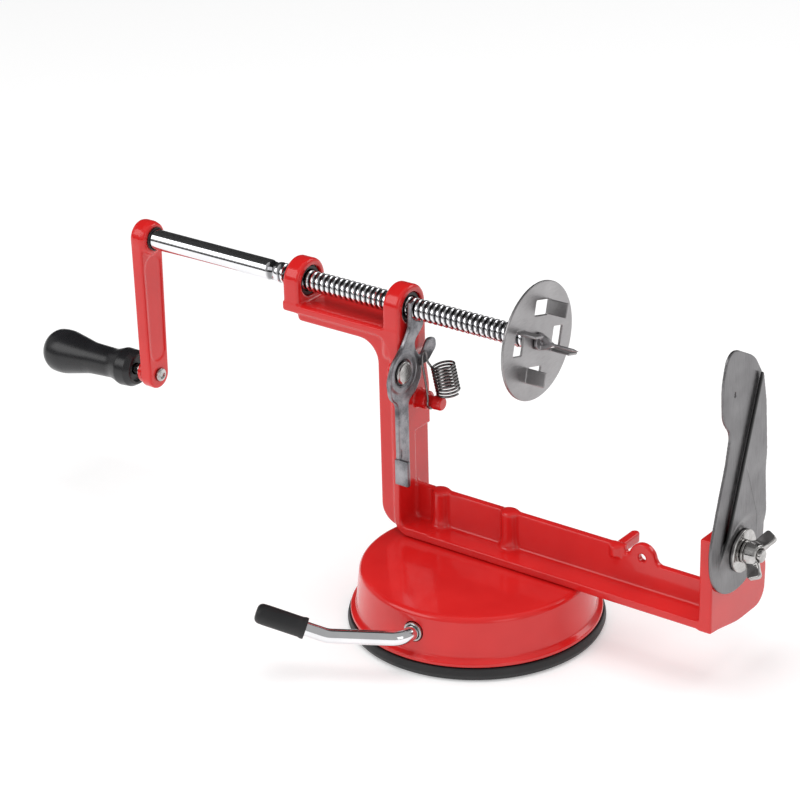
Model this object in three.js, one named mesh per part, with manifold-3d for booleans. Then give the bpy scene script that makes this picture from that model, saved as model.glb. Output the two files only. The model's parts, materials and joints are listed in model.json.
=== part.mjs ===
// Hand-cranked apple spiral slicer on a lever-locked suction base, in millimetres, +Z up.
// +X runs along the drive shaft from the crank to the blade.
// The origin is the centre of the rubber pad's underside, where it meets the table.
import * as THREE from "three";
import { mergeVertices } from "three/addons/utils/BufferGeometryUtils.js";
import Module from "manifold-3d";

const wasm = await Module();
wasm.setup();

// ---- driving dimensions ----
const gap = 0.3; // between pieces that touch on the real object
const padRadius = 60;
const padHeight = 5.8;
const housingTop = 28.7;
const housingWall = 1.5;
const railBottom = housingTop + gap;
const railTop = railBottom + 4;
const frontY = 1.8; // front edge of the casting's flange
const backY = 23.4; // back edge of the lugs and post
const shaftY = 12.6;
const shaftZ = 141.5;
const shaftRadius = 5;
const threadDepth = 0.75;
const threadPitch = 3;
const lugRadius = 10.7;
const boreRadius = 7.4;
const rearLug = [-110, -100.8];
const frontLug = [-52.3, -42.9];
const armTop = 132;
const flange = 3.4; // thickness of the ribbon that joins arm, post and rail
const postFront = -44.4; // +X face of the post
const postBack = -48;
const webBack = -56.3;
const postBackY = 27.2; // back edge of the post where it is widest
const wallY = [14.3, 17.8];
const wallTop = 51;
const bracketX = [117.5, 123.8];
const bracketTop = 74;
const boltY = 24;
const boltZ = 61.3;
const crankX = [-206, -199.4];
const crankBossFront = -197;
const crankReach = 73; // from the shaft's axis to the handle's
const handleZ = shaftZ - crankReach;
const threadX = [-117.7, 22.3]; // feed thread, with a run-out groove before it
const discX = 25;
const discThickness = 1.2;
const discRadius = 27.5;
const discTurn = THREE.MathUtils.degToRad(-15);
const leverX = [-42.2, -39.9];
const pivotY = 0.6;
const pivotZ = 114.2;
const pegY = 18.5;
const pegZ = 93.6;
const axleZ = 18.9; // axis of the suction lever
const axleTurn = THREE.MathUtils.degToRad(4); // the lever's axle leans this much from -Y
const rodRadius = 3.4;
const handleDroop = 2.5; // the handle's pin drops this many degrees away from the crank
const screwSpots = [
  [-30, 15.2],
  [8.8, 15.2],
];

// ---- materials ----
const material = (color, roughness, metalness) =>
  new THREE.MeshStandardMaterial({ color, roughness, metalness });
const redPaint = material(0xd8201f, 0.25, 0.1);
const chrome = material(0xe6e7ea, 0.08, 1);
const steel = material(0x9b9a9e, 0.38, 1);
const castSteel = material(0x8b8b92, 0.5, 0.9);
const nickel = material(0xb9b6b4, 0.25, 1);
const darkSteel = material(0x4c4a4c, 0.45, 0.9);
const blackGrip = material(0x17171b, 0.45, 0);
const blackRubber = material(0x141416, 0.75, 0);
const nylon = material(0x101012, 0.5, 0);

// ---- solids: joining, cutting and moving ----
function solid(geometry) {
  const plain = geometry.index ? geometry.toNonIndexed() : geometry.clone();
  plain.deleteAttribute("normal");
  plain.deleteAttribute("uv");
  const merged = mergeVertices(plain, 1e-4);
  return new wasm.Manifold(
    new wasm.Mesh({
      numProp: 3,
      vertProperties: merged.attributes.position.array,
      triVerts: new Uint32Array(merged.index.array),
    }),
  );
}
const join = (...parts) => parts.reduce((sum, part) => sum.add(part));
const cut = (body, ...tools) => tools.reduce((rest, tool) => rest.subtract(tool), body);
function geometryOf(body) {
  const mesh = body.getMesh();
  return new THREE.BufferGeometry()
    .setAttribute("position", new THREE.BufferAttribute(new Float32Array(mesh.vertProperties), 3))
    .setIndex(new THREE.BufferAttribute(new Uint32Array(mesh.triVerts), 1));
}
function box([x0, x1], [y0, y1], [z0, z1]) {
  const block = new THREE.BoxGeometry(x1 - x0, y1 - y0, z1 - z0);
  return solid(block.translate((x0 + x1) / 2, (y0 + y1) / 2, (z0 + z1) / 2));
}
// A round bar along X, tapering from the first radius to the second.
function barX(x0, x1, y, z, r0, r1 = r0, sides = 24) {
  const bar = new THREE.CylinderGeometry(r1, r0, x1 - x0, sides).rotateZ(-Math.PI / 2);
  return solid(bar.translate((x0 + x1) / 2, y, z));
}
function barZ(x, y, z0, z1, r, sides = 24) {
  const bar = new THREE.CylinderGeometry(r, r, z1 - z0, sides).rotateX(Math.PI / 2);
  return solid(bar.translate(x, y, (z0 + z1) / 2));
}
function barY(x, z, y0, y1, r, sides = 24) {
  return solid(new THREE.CylinderGeometry(r, r, y1 - y0, sides).translate(x, (y0 + y1) / 2, z));
}
// A profile of (radius, height) points turned about Z.
function turned(points, sides) {
  return solid(new THREE.LatheGeometry(points.map(([r, h]) => new THREE.Vector2(r, h)), sides)
    .rotateX(Math.PI / 2));
}
// The same, about a line along X: points are (x, radius).
function turnedX(points, y, z, sides) {
  const lathe = new THREE.LatheGeometry(points.map(([x, r]) => new THREE.Vector2(r, x)), sides);
  return solid(lathe.rotateZ(-Math.PI / 2).translate(0, y, z));
}
// A shape drawn in (Y, Z), thickened along X.
function plateYZ(shape, [x0, x1], curveSegments = 7) {
  const plate = new THREE.ExtrudeGeometry(shape, {
    depth: x1 - x0,
    bevelEnabled: false,
    curveSegments,
  });
  return solid(plate.rotateX(Math.PI / 2).rotateZ(Math.PI / 2).translate(x0, 0, 0));
}
// A shape drawn in (X, Z), thickened along Y.
function plateXZ(shape, [y0, y1], curveSegments = 7) {
  const plate = new THREE.ExtrudeGeometry(shape, {
    depth: y1 - y0,
    bevelEnabled: false,
    curveSegments,
  });
  return solid(plate.rotateX(Math.PI / 2).translate(0, y1, 0));
}
// A round rod along a curve.
function rod(curve, radius, steps, sides = 8) {
  const circle = new THREE.Shape().absarc(0, 0, radius, 0, 2 * Math.PI);
  return solid(new THREE.ExtrudeGeometry(circle, {
    steps,
    curveSegments: sides,
    extrudePath: curve,
  }));
}
// Straight runs through the corners, each corner rounded to its own radius.
function bentPath(corners, radii) {
  const path = new THREE.CurvePath();
  let from = corners[0];
  for (let i = 1; i < corners.length - 1; i++) {
    const back = corners[i - 1].clone().sub(corners[i]).normalize();
    const on = corners[i + 1].clone().sub(corners[i]).normalize();
    const start = corners[i].clone().addScaledVector(back, radii[i - 1]);
    const end = corners[i].clone().addScaledVector(on, radii[i - 1]);
    path.add(new THREE.LineCurve3(from, start));
    path.add(new THREE.QuadraticBezierCurve3(start, corners[i], end));
    from = end;
  }
  path.add(new THREE.LineCurve3(from, corners[corners.length - 1]));
  return path;
}

const product = new THREE.Group();
const onAxle = new THREE.Group(); // pieces set out along the suction lever's axle
onAxle.rotation.z = axleTurn;
product.add(onAxle);
function piece(name, body, finish, group = product) {
  const mesh = new THREE.Mesh(geometryOf(body), finish);
  mesh.name = name;
  group.add(mesh);
}

// ---- the zinc casting: lugs, top arm, post, rail and blade bracket ----
function lugShape(bottom) {
  const shape = new THREE.Shape();
  shape.moveTo(frontY, bottom);
  shape.lineTo(backY, bottom);
  shape.lineTo(backY, shaftZ);
  shape.absarc(shaftY, shaftZ, (backY - frontY) / 2, 0, Math.PI, false);
  shape.lineTo(frontY, bottom);
  return shape;
}
function ribbonShape() {
  const outer = 7.5; // radius under the post's foot
  const inner = outer - flange;
  const throat = 9; // radius under the arm
  const shape = new THREE.Shape();
  shape.moveTo(rearLug[0], armTop - flange);
  shape.lineTo(postBack - throat, armTop - flange);
  shape.absarc(postBack - throat, armTop - flange - throat, throat, 0.5 * Math.PI, 0, true);
  shape.lineTo(postBack, railBottom + outer);
  shape.absarc(postBack + outer, railBottom + outer, outer, Math.PI, 1.5 * Math.PI, false);
  shape.lineTo(-30, railBottom);
  shape.lineTo(-30, railTop);
  shape.lineTo(postFront + inner, railTop);
  shape.absarc(postFront + inner, railTop + inner, inner, 1.5 * Math.PI, Math.PI, true);
  shape.lineTo(postFront, armTop);
  shape.lineTo(rearLug[0], armTop);
  return shape;
}
function webShape() {
  const bottom = 124.3;
  const throat = 10.5; // fillet between arm and post
  const foot = 10.5;
  const heel = 32.3;
  const shape = new THREE.Shape();
  shape.moveTo(-103, armTop - 1);
  shape.lineTo(-102, bottom + 1.6);
  shape.lineTo(-99.5, bottom);
  shape.lineTo(webBack - throat, bottom);
  shape.absarc(webBack - throat, bottom - throat, throat, 0.5 * Math.PI, 0, true);
  shape.lineTo(webBack, heel + foot);
  shape.absarc(webBack + foot, heel + foot, foot, Math.PI, 1.5 * Math.PI, false);
  shape.lineTo(postFront - 1, heel);
  shape.lineTo(postFront - 1, armTop - 1);
  return shape;
}
function wallShape() {
  const lowTop = 46.2; // the wall steps down past the ear
  const shape = new THREE.Shape();
  shape.moveTo(postBack + 1, railBottom + 1);
  shape.lineTo(bracketX[0] + 1, railBottom + 1);
  shape.lineTo(bracketX[0] + 1, lowTop);
  shape.lineTo(88, lowTop);
  shape.quadraticCurveTo(86, lowTop, 85.4, 49.5);
  shape.absarc(80.3, 48, 6.7, 0.4, Math.PI - 0.7, false);
  shape.quadraticCurveTo(73.5, wallTop, 71, wallTop);
  shape.lineTo(postBack + 1, wallTop);
  return shape;
}
function bracketShape() {
  const shape = new THREE.Shape();
  shape.moveTo(frontY, railBottom);
  shape.quadraticCurveTo(20, railBottom - 4.4, 34, railBottom - 4.6); // the lower edge sags
  shape.quadraticCurveTo(47.8, railBottom - 4.6, 49.6, 39);
  shape.quadraticCurveTo(50, 46, 44, 56);
  shape.quadraticCurveTo(38, 68, 32, bracketTop);
  shape.lineTo(frontY, bracketTop);
  return shape;
}
// The post's back edge stands out further below the arm.
function postBackShape() {
  const shape = new THREE.Shape();
  shape.moveTo(backY - 3, railBottom + 6);
  shape.lineTo(postBackY, railBottom + 6);
  shape.lineTo(postBackY, 98);
  shape.lineTo(backY, 120);
  shape.lineTo(backY - 3, 120);
  return shape;
}
function frameCasting() {
  const post = cut(
    join(
      plateXZ(ribbonShape(), [frontY, backY]),
      plateYZ(postBackShape(), [postBack, postFront]),
    ),
    box([postFront - 1.5, postFront + 1], [15.2, postBackY + 1], [railTop + 3, 77.8]),
  );
  const body = join(
    post,
    plateXZ(webShape(), [frontY + 1.5, frontY + 5.5]),
    plateYZ(lugShape(armTop - flange), rearLug),
    plateYZ(lugShape(118), frontLug),
    box([-34, bracketX[0] + 1], [frontY, wallY[1]], [railBottom, railTop]),
    plateXZ(wallShape(), wallY),
    plateYZ(bracketShape(), bracketX),
    ...screwSpots.map(([x, y]) => barZ(x, y, railBottom + 1, 51.2, 4.3)),
    box([64, 68.4], [wallY[0] + 1, 31], [45, 50]), // stub on the back of the rail
    barZ(66.2, 31, 45, 50, 2.2),
    barX(-46, leverX[0] - gap, pivotY, pivotZ, 4.6), // seat of the clasp's pivot
    barX(postFront - 2, -38.6, pegY, pegZ, 4.4, 4.2), // spring peg: root, neck and head
    barX(-39, -35, pegY, pegZ, 2.8),
    barX(-35.6, -30.6, pegY, pegZ, 3.5, 3.2),
  );
  return cut(
    body,
    barX(rearLug[0] - 1, rearLug[1] + 1, shaftY, shaftZ, boreRadius, boreRadius, 28),
    barX(frontLug[0] - 1, frontLug[1] + 1, shaftY, shaftZ, boreRadius, boreRadius, 28),
    barX(-45.5, leverX[0], pivotY, pivotZ, 2.9),
    barX(bracketX[0] - 1, bracketX[1] + 1, boltY, boltZ, 3.3),
    barY(80.3, 48, wallY[0] - 1, wallY[1] + 1, 2),
    ...screwSpots.map(([x, y]) => barZ(x, y, railBottom - 1, 45, 2)),
  );
}
piece("frame_casting", frameCasting(), redPaint);

function bush(x0, x1) {
  return cut(
    barX(x0, x1, shaftY, shaftZ, boreRadius - gap, boreRadius - gap, 28),
    barX(x0 - 1, x1 + 1, shaftY, shaftZ, shaftRadius + 0.4, shaftRadius + 0.4, 28),
  );
}
piece("rear_bush", bush(rearLug[0] + 1, rearLug[1] - 1), nylon);
piece("front_bush", bush(frontLug[0] + 1, frontLug[1] - 1), nylon);

// ---- suction base ----
const housingProfile = [
  [0, housingTop],
  [51.2, housingTop],
  [53.1, housingTop - 0.8],
  [54.2, housingTop - 2.4],
  [56, 9.6],
  [56.9, 8.5],
  [58.2, 7.8],
  [58.5, 7.1],
  [58.3, padHeight + gap],
  [55, padHeight + gap],
  [54.4, 9],
  [52.6, housingTop - 3],
  [51, housingTop - housingWall],
  [0, housingTop - housingWall],
];
function baseHousing() {
  const wallHole = barY(0, axleZ, -60, -48, 4.9).rotate([0, 0, THREE.MathUtils.radToDeg(axleTurn)]);
  return cut(
    turned(housingProfile.reverse(), 48),
    wallHole,
    ...screwSpots.map(([x, y]) => barZ(x, y, housingTop - 4, housingTop + 1, 2.1)),
  );
}
piece("base_housing", baseHousing(), redPaint);
piece("suction_pad", turned([
  [0, 0],
  [57.8, 0],
  [59.4, 0.7],
  [padRadius, 2.2],
  [59.8, 4.8],
  [59, padHeight],
  [53.4, padHeight],
  [50, 2.6],
  [9, 2.6],
  [8.4, 3.5],
  [0, 3.5],
], 48), blackRubber);

screwSpots.forEach(([x, y], i) => {
  const side = ["left", "right"][i];
  const under = housingTop - housingWall - gap;
  piece(`screw_washer_${side}`, cut(
    barZ(x, y, under - 0.9, under, 4.6),
    barZ(x, y, under - 2, under + 1, 2.1),
  ), nickel);
  const head = under - 0.9 - gap;
  piece(`frame_screw_${side}`, cut(
    join(barZ(x, y, head - 2.6, head, 3.5), barZ(x, y, head - 1, 43, 1.7)),
    box([x - 2.8, x + 2.8], [y - 0.45, y + 0.45], [head - 3, head - 1.5]),
  ), nickel);
});

// ---- suction lever, its cam and the stem it lifts ----
function suctionRod() {
  const corners = [
    new THREE.Vector3(0, 26, axleZ),
    new THREE.Vector3(0, -62.6, axleZ),
    new THREE.Vector3(-31.2, -77.6, axleZ),
    new THREE.Vector3(-57, -90, axleZ + 9.8),
  ];
  return bentPath(corners, [6, 7]);
}
const rodCurve = suctionRod();
piece("suction_rod", rod(rodCurve, rodRadius, 28, 6), chrome, onAxle);
function leverGrip() {
  const from = rodCurve.getPointAt(0.857);
  const end = rodCurve.getPointAt(1);
  const along = end.clone().sub(from).normalize();
  const length = end.distanceTo(from) + 3.4;
  const profile = [
    [rodRadius + 0.25, 0],
    [4.5, 0],
    [4.8, 0.5],
    [4.8, length - 1.6],
    [4.2, length - 0.5],
    [3, length],
    [0, length],
    [0, length - 2.6],
    [rodRadius + 0.25, length - 2.6],
    [rodRadius + 0.25, 0],
  ];
  const sleeve = new THREE.LatheGeometry(profile.map(([r, h]) => new THREE.Vector2(r, h)), 24);
  const lean = new THREE.Quaternion().setFromUnitVectors(new THREE.Vector3(0, 1, 0), along);
  return solid(sleeve.applyQuaternion(lean).translate(from.x, from.y, from.z));
}
piece("lever_grip", leverGrip(), blackRubber, onAxle);
const camThrow = 1;
piece("lift_cam", cut(
  barY(0, axleZ - camThrow, -2.2, 2.2, 4.9, 28),
  barY(0, axleZ, -3, 3, rodRadius + 0.12),
), nickel, onAxle);
piece("lift_yoke", cut(
  join(box([-8.4, 8.4], [-3, 3], [11.1, 24.7]), barZ(0, 0, padHeight + 0.5, 11.6, 3)),
  box([-6.5, 6.5], [-4, 4], [12.5, 23.3]),
), steel, onAxle);
piece("pull_plate", barZ(0, 0, 3.9, padHeight + 0.2, 13, 32), steel, onAxle);
piece("lever_gland", cut(
  barY(0, axleZ, -55.9, -51.5, 4.6),
  barY(0, axleZ, -58, -50, rodRadius + 0.2),
), nickel, onAxle);
piece("axle_bracket", cut(
  join(
    box([-6.5, 6.5], [21, 23], [13, housingTop - housingWall - gap]),
    box([-6.5, 6.5], [21, 32], [housingTop - housingWall - gap - 1.6, housingTop - housingWall - gap]),
  ),
  barY(0, axleZ, 20, 24, rodRadius + 0.2),
), steel, onAxle);

// ---- drive shaft: plain end, run-out and feed thread ----
// The surface is a grid of rings; the radius falls and rises with the helix along the threaded part.
function driveShaft() {
  const sides = 12;
  const step = threadPitch / 3;
  const rings = [[-204.6, shaftRadius - 0.5], [-204.1, shaftRadius], [threadX[0] - 9, shaftRadius]];
  rings.push([threadX[0] - 8, shaftRadius - threadDepth], [threadX[0] - 1, shaftRadius - threadDepth]);
  for (let x = threadX[0]; x <= threadX[1]; x += step) rings.push([x, null]);
  rings.push([threadX[1] + 0.5, 3.9], [discX - gap, 3.9], [discX - gap, 3], [discX + 2.2, 3]);
  const points = [];
  const faces = [];
  rings.forEach(([x, fixed], i) => {
    for (let j = 0; j < sides; j++) {
      const angle = (2 * Math.PI * j) / sides;
      const wave = 0.5 - 0.5 * Math.cos(2 * Math.PI * (x / threadPitch) - angle);
      const radius = fixed ?? shaftRadius - threadDepth * wave;
      points.push(x, shaftY + radius * Math.cos(angle), shaftZ + radius * Math.sin(angle));
      if (i === 0) continue;
      const next = (j + 1) % sides;
      const [a, b] = [(i - 1) * sides + j, (i - 1) * sides + next];
      const [c, d] = [i * sides + j, i * sides + next];
      faces.push(a, b, c, c, b, d);
    }
  });
  const last = rings.length - 1;
  points.push(rings[0][0], shaftY, shaftZ, rings[last][0], shaftY, shaftZ);
  const hub = rings.length * sides;
  for (let j = 0; j < sides; j++) {
    const next = (j + 1) % sides;
    faces.push(hub, next, j, hub + 1, last * sides + j, last * sides + next);
  }
  const grid = new THREE.BufferGeometry()
    .setAttribute("position", new THREE.BufferAttribute(new Float32Array(points), 3))
    .setIndex(faces);
  return solid(grid);
}
piece("drive_shaft", driveShaft(), chrome);
piece("thrust_washer", cut(
  barX(crankBossFront + gap, crankBossFront + gap + 0.8, shaftY, shaftZ, 5.8),
  barX(crankBossFront - 1, crankBossFront + 3, shaftY, shaftZ, shaftRadius + 0.2),
), nylon);

// ---- crank and handle ----
// A body set out along the handle's pin, turned down to its droop about the crank's lower eye.
const drooped = (body) => body
  .translate([-crankX[0], -shaftY, -handleZ])
  .rotate([0, -handleDroop, 0])
  .translate([crankX[0], shaftY, handleZ]);
function crankShape() {
  const half = 7;
  const shape = new THREE.Shape();
  shape.moveTo(shaftY - half, handleZ);
  shape.absarc(shaftY, handleZ, half, Math.PI, 2 * Math.PI, false);
  shape.lineTo(shaftY + 8, shaftZ);
  shape.absarc(shaftY, shaftZ, 8, 0, Math.PI, false);
  shape.lineTo(shaftY - half, handleZ);
  return shape;
}
piece("crank_arm", cut(
  join(
    plateYZ(crankShape(), crankX),
    barX(crankX[0] + 1, crankBossFront, shaftY, shaftZ, 8, 7.4, 28),
    drooped(barX(crankX[0] - 3.5, crankX[0] + 1, shaftY, handleZ, 5.4, 6)),
  ),
  barX(crankX[0] + 1, crankBossFront + 1, shaftY, shaftZ, shaftRadius + gap),
  drooped(barX(crankX[0] - 5, crankBossFront + 1, shaftY, handleZ, 2.7)),
  box([crankX[1] - 0.4, crankX[1] + 1], [shaftY - 5.8, shaftY + 5.8], [handleZ + 8.5, shaftZ - 9]),
  barY(-200.8, shaftZ, shaftY + 4, shaftY + 9, 2),
), redPaint);
piece("grub_screw", cut(
  barY(-200.8, shaftZ, shaftY + 5.5, shaftY + 7.6, 1.7, 18),
  barY(-200.8, shaftZ, shaftY + 6.6, shaftY + 8, 0.9, 6),
), darkSteel);
piece("handle_pin", drooped(turnedX([
  [-266, 0],
  [-265.4, 2.4],
  [crankX[1] + gap, 2.4],
  [crankX[1] + gap, 3.3],
  [crankX[1] + 1.1, 3.2],
  [crankX[1] + 1.6, 2.2],
  [crankX[1] + 1.7, 0],
], shaftY, handleZ, 24)), nickel);
piece("handle_washer", drooped(cut(
  barX(-211.3, -209.8, shaftY, handleZ, 4.3),
  barX(-212, -209, shaftY, handleZ, 2.7),
)), nickel);
piece("handle_grip", drooped(turnedX([
  [-267, 0],
  [-267, 2.9],
  [-215, 2.9],
  [-215, 6.3],
  [-213, 6.6],
  [-213, 7.6],
  [-214.4, 8.6],
  [-217, 9.1],
  [-220.5, 9],
  [-224, 8.3],
  [-229, 7.8],
  [-235, 8],
  [-241, 8.6],
  [-248, 9.6],
  [-254, 10.5],
  [-260, 10.9],
  [-265, 10.3],
  [-269, 8.4],
  [-271.4, 5.6],
  [-272.4, 2.8],
  [-272.6, 0],
].reverse(), shaftY, handleZ, 24)), blackGrip);

// ---- pronged disc and the spear in its centre, which hold the apple ----
function windowBox(x, narrow) {
  return box(x, [-5.75, 5.75], [11.8 + narrow, 18.8 - narrow]);
}
function grippingDisc() {
  let disc = cut(barX(discX, discX + discThickness, 0, 0, discRadius, discRadius, 48),
    barX(discX - 1, discX + 3, 0, 0, 3.3));
  for (let k = 0; k < 4; k++) {
    const pocket = windowBox([discX - 1, discX + 3], 0);
    const tab = box([discX, discX + 11], [5.75 - discThickness, 5.8], [11.9, 18.7]);
    disc = join(cut(disc, pocket.rotate([90 * k, 0, 0])), tab.rotate([90 * k, 0, 0]));
  }
  return disc.rotate([THREE.MathUtils.radToDeg(discTurn), 0, 0]).translate([0, shaftY, shaftZ]);
}
piece("gripping_disc", grippingDisc(), steel);
function spearFork() {
  const hubX = discX + discThickness + gap;
  const prong = new THREE.Shape();
  prong.moveTo(hubX + 0.6, 1.8);
  prong.lineTo(hubX + 8, -0.5);
  prong.lineTo(hubX + 8, 0.7);
  prong.lineTo(hubX + 4.4, 3.2);
  prong.lineTo(hubX + 0.6, 4);
  const blade = plateXZ(prong, [-1.1, 1.1]);
  const body = join(
    barX(hubX, hubX + 1.6, 0, 0, 4.2, 4),
    blade,
    blade.rotate([180, 0, 0]),
    barX(hubX + 1, hubX + 18, 0, 0, 1.1, 0.9, 16),
    barX(hubX + 18, hubX + 21.5, 0, 0, 0.9, 0.2, 16),
  );
  return cut(body, barX(hubX - 1, hubX + 1.1, 0, 0, 3.3)).translate([0, shaftY, shaftZ]);
}
piece("centre_spear", spearFork(), steel);

// ---- clasp that lifts its jaw into the feed thread ----
function claspShape() {
  const shape = new THREE.Shape();
  shape.moveTo(8.4, 146.4);
  shape.lineTo(6.9, 146);
  shape.lineTo(6.2, 139);
  shape.lineTo(5.6, 134);
  shape.quadraticCurveTo(4, 128.4, 0.6, 125.2);
  shape.lineTo(-4.4, 120.6);
  shape.quadraticCurveTo(-9.2, 114.6, -8.7, 109);
  shape.quadraticCurveTo(-8.4, 104.6, -5.6, 101.6);
  shape.quadraticCurveTo(-3.5, 99, -3.5, 95);
  shape.lineTo(-3.5, 61);
  shape.lineTo(4.4, 61);
  shape.lineTo(4.6, 97);
  shape.quadraticCurveTo(5, 99.8, 8.6, 100.8);
  shape.quadraticCurveTo(13, 103, 14.6, 108.6);
  shape.lineTo(15.4, 112.4);
  shape.lineTo(18.4, 113.8); // the horn that the spring hooks over
  shape.lineTo(22.8, 119.4);
  shape.quadraticCurveTo(23.2, 123.8, 20.6, 124.4);
  shape.quadraticCurveTo(18, 124.8, 17, 121.8);
  shape.lineTo(13.8, 118.8);
  shape.quadraticCurveTo(10.8, 121.4, 10.6, 126);
  shape.quadraticCurveTo(14.4, 130.4, 15.8, 136);
  shape.lineTo(shaftY, shaftZ);
  shape.lineTo(9, 146.4);
  return shape;
}
// The shaft's place as the clasp sees it, after it has swung this many degrees clear.
function jawRelief(swing, back, front) {
  return barX(back - 1, front + 1, shaftY - pivotY, shaftZ - pivotZ, shaftRadius + gap)
    .rotate([-swing, 0, 0])
    .translate([0, pivotY, pivotZ]);
}
function clasp() {
  const [back, front] = leverX;
  const flat = plateYZ(claspShape(), leverX);
  const band = (low, high) => flat.intersect(box([back - 1, front + 1], [-20, 30], [low, high]));
  const bend = band(126, 134).warp((point) => {
    point[0] += (point[2] - 126) / 8; // the arm stands forward at the jaw
  });
  return cut(
    join(
      band(50, 126.01),
      bend,
      band(133.99, 160).translate([1, 0, 0]),
      box([back, back + 7.6], [-4.6, -2.6], [58.9, 71.7]), // thumb pad, facing -Y
    ),
    ...[0, 2, 4, 6].map((swing) => jawRelief(swing, back, front + 1)),
    barX(back - 1, front + 1, pivotY, pivotZ, 2.9),
  );
}
piece("adjusting_clasp", clasp(), castSteel);
piece("clasp_screw", cut(
  turnedX([
    [-45.2, 0],
    [-45.2, 2.6],
    [leverX[1] + gap, 2.6],
    [leverX[1] + gap, 5.4],
    [leverX[1] + 0.9, 5.4],
    [leverX[1] + 1.3, 4.9],
    [leverX[1] + 1.4, 0],
  ], pivotY, pivotZ, 28),
  box([leverX[1] + 1, leverX[1] + 2], [pivotY - 0.4, pivotY + 0.4], [pivotZ - 3.6, pivotZ + 3.6]),
), nickel);

// ---- spring between the clasp's horn and the peg ----
function springCurve() {
  const high = new THREE.Vector3(-31.8, 20.3, 113);
  const low = new THREE.Vector3(-30.5, 21, 98.9);
  const turns = 9.5;
  const points = [
    new THREE.Vector3(-36.9, pegY + 1.8, pegZ - 3.4), // hook round the peg's neck
    new THREE.Vector3(-36.9, pegY - 1.8, pegZ - 3.4),
    new THREE.Vector3(-36.9, pegY - 3.8, pegZ - 0.4),
    new THREE.Vector3(-37.1, pegY - 3.4, pegZ + 2.6),
    new THREE.Vector3(-37.7, 15.4, 101.5),
    new THREE.Vector3(-37.8, 14.6, 110),
    new THREE.Vector3(-38.2, 11.8, 117.4), // over the front of the horn's root
    new THREE.Vector3(-37.8, 14.4, 118.2),
  ];
  for (let i = 0; i <= turns * 8; i++) {
    const angle = (2 * Math.PI * i) / 8 + Math.PI;
    const centre = high.clone().lerp(low, i / (turns * 8));
    points.push(centre.add(new THREE.Vector3(5.3 * Math.cos(angle), 5.3 * Math.sin(angle), 0)));
  }
  return new THREE.CatmullRomCurve3(points, false, "centripetal");
}
piece("clasp_spring", rod(springCurve(), 0.48, 130, 3), steel);

// ---- slicing blade and its clamp ----
const bladeX = [bracketX[1] + gap, bracketX[1] + gap + 1.4];
const bladeStep = 2.2; // how far the far half stands proud along the cutting slit
function bladePlate() {
  const near = new THREE.Shape();
  near.moveTo(17.5, 158.9);
  near.quadraticCurveTo(12.4, 160.6, 8.6, 157.2);
  near.quadraticCurveTo(6, 152, 5.2, 146);
  near.quadraticCurveTo(4.2, 139, 5, 133);
  near.quadraticCurveTo(6.6, 128.6, 10, 124.6);
  near.quadraticCurveTo(11.8, 120.6, 10.6, 115);
  near.quadraticCurveTo(7.2, 104, 4.4, 92);
  near.quadraticCurveTo(0, 78, -0.7, 66);
  near.quadraticCurveTo(-0.6, 44.4, 21, 43.2);
  near.quadraticCurveTo(43, 44, 43.7, 64);
  near.lineTo(5.6, 64);
  near.lineTo(35.6, 142.2);
  near.lineTo(32.2, 149);
  near.quadraticCurveTo(27, 154.6, 17.5, 158.9);
  const far = new THREE.Shape();
  far.moveTo(4.8, 63.5);
  far.lineTo(43.7, 63.5);
  far.lineTo(43.3, 72);
  far.lineTo(42.4, 80);
  far.quadraticCurveTo(41, 104, 38.4, 129);
  far.quadraticCurveTo(37.8, 137, 35.9, 141.6);
  far.lineTo(34.6, 141.4);
  far.lineTo(19.4, 102);
  far.lineTo(14.4, 89);
  far.lineTo(11, 80);
  far.lineTo(7.8, 72);
  const proud = plateYZ(far, bladeX).warp((point) => {
    const t = Math.min(Math.max((point[2] - 72) / 24, 0), 1);
    point[0] += bladeStep * t * t * (3 - 2 * t);
  });
  return cut(
    join(plateYZ(near, bladeX), proud),
    barX(bladeX[0] - 1, bladeX[1] + 1, boltY, boltZ, 3.3),
    barX(bladeX[0] - 1, bladeX[1] + 1, 15, 139.7, 1.2, 1.2, 14),
  );
}
piece("slicing_blade", bladePlate(), steel);
piece("blade_bolt", join(
  barX(bracketX[0] - 2.8, bracketX[0] - gap, boltY, boltZ, 6, 6, 6),
  barX(bracketX[0] - gap - 0.1, 135.9, boltY, boltZ, 2.9),
  barX(135.9, 136.6, boltY, boltZ, 2.9, 2.2),
), nickel);
let stack = bladeX[1] + gap;
const ringX = (thickness, outer) => {
  const ring = cut(
    barX(stack, stack + thickness, boltY, boltZ, outer, outer, 32),
    barX(stack - 1, stack + thickness + 1, boltY, boltZ, 3.2),
  );
  stack += thickness + gap;
  return ring;
};
piece("blade_washer", ringX(1.5, 10), nickel);
piece("spring_washer", cut(
  ringX(1.2, 5.3),
  box([bladeX[1], bladeX[1] + 6], [boltY - 0.4, boltY + 0.4], [boltZ + 1, boltZ + 8]),
), nickel);
function wingNut() {
  const wing = new THREE.Shape();
  wing.moveTo(stack + 0.6, 3.6);
  wing.lineTo(stack + 1, 5.6);
  wing.lineTo(stack + 4.4, 11);
  wing.quadraticCurveTo(stack + 5.4, 12.2, stack + 7, 11.8);
  wing.lineTo(stack + 9.6, 10.4);
  wing.quadraticCurveTo(stack + 10.6, 9.6, stack + 10, 8.4);
  wing.lineTo(stack + 6, 3.6);
  const blade = plateXZ(wing, [-1.3, 1.3]);
  return cut(
    join(
      barX(stack, stack + 5.6, 0, 0, 5.6, 4.6, 28),
      blade,
      blade.rotate([180, 0, 0]),
    ),
    barX(stack - 1, stack + 8, 0, 0, 3.2),
  ).rotate([-45, 0, 0]).translate([0, boltY, boltZ]);
}
piece("wing_nut", wingNut(), nickel);

export default product;
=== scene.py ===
import json
import math

import bmesh
import bpy
import numpy as np
from mathutils import Matrix, Vector


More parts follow.
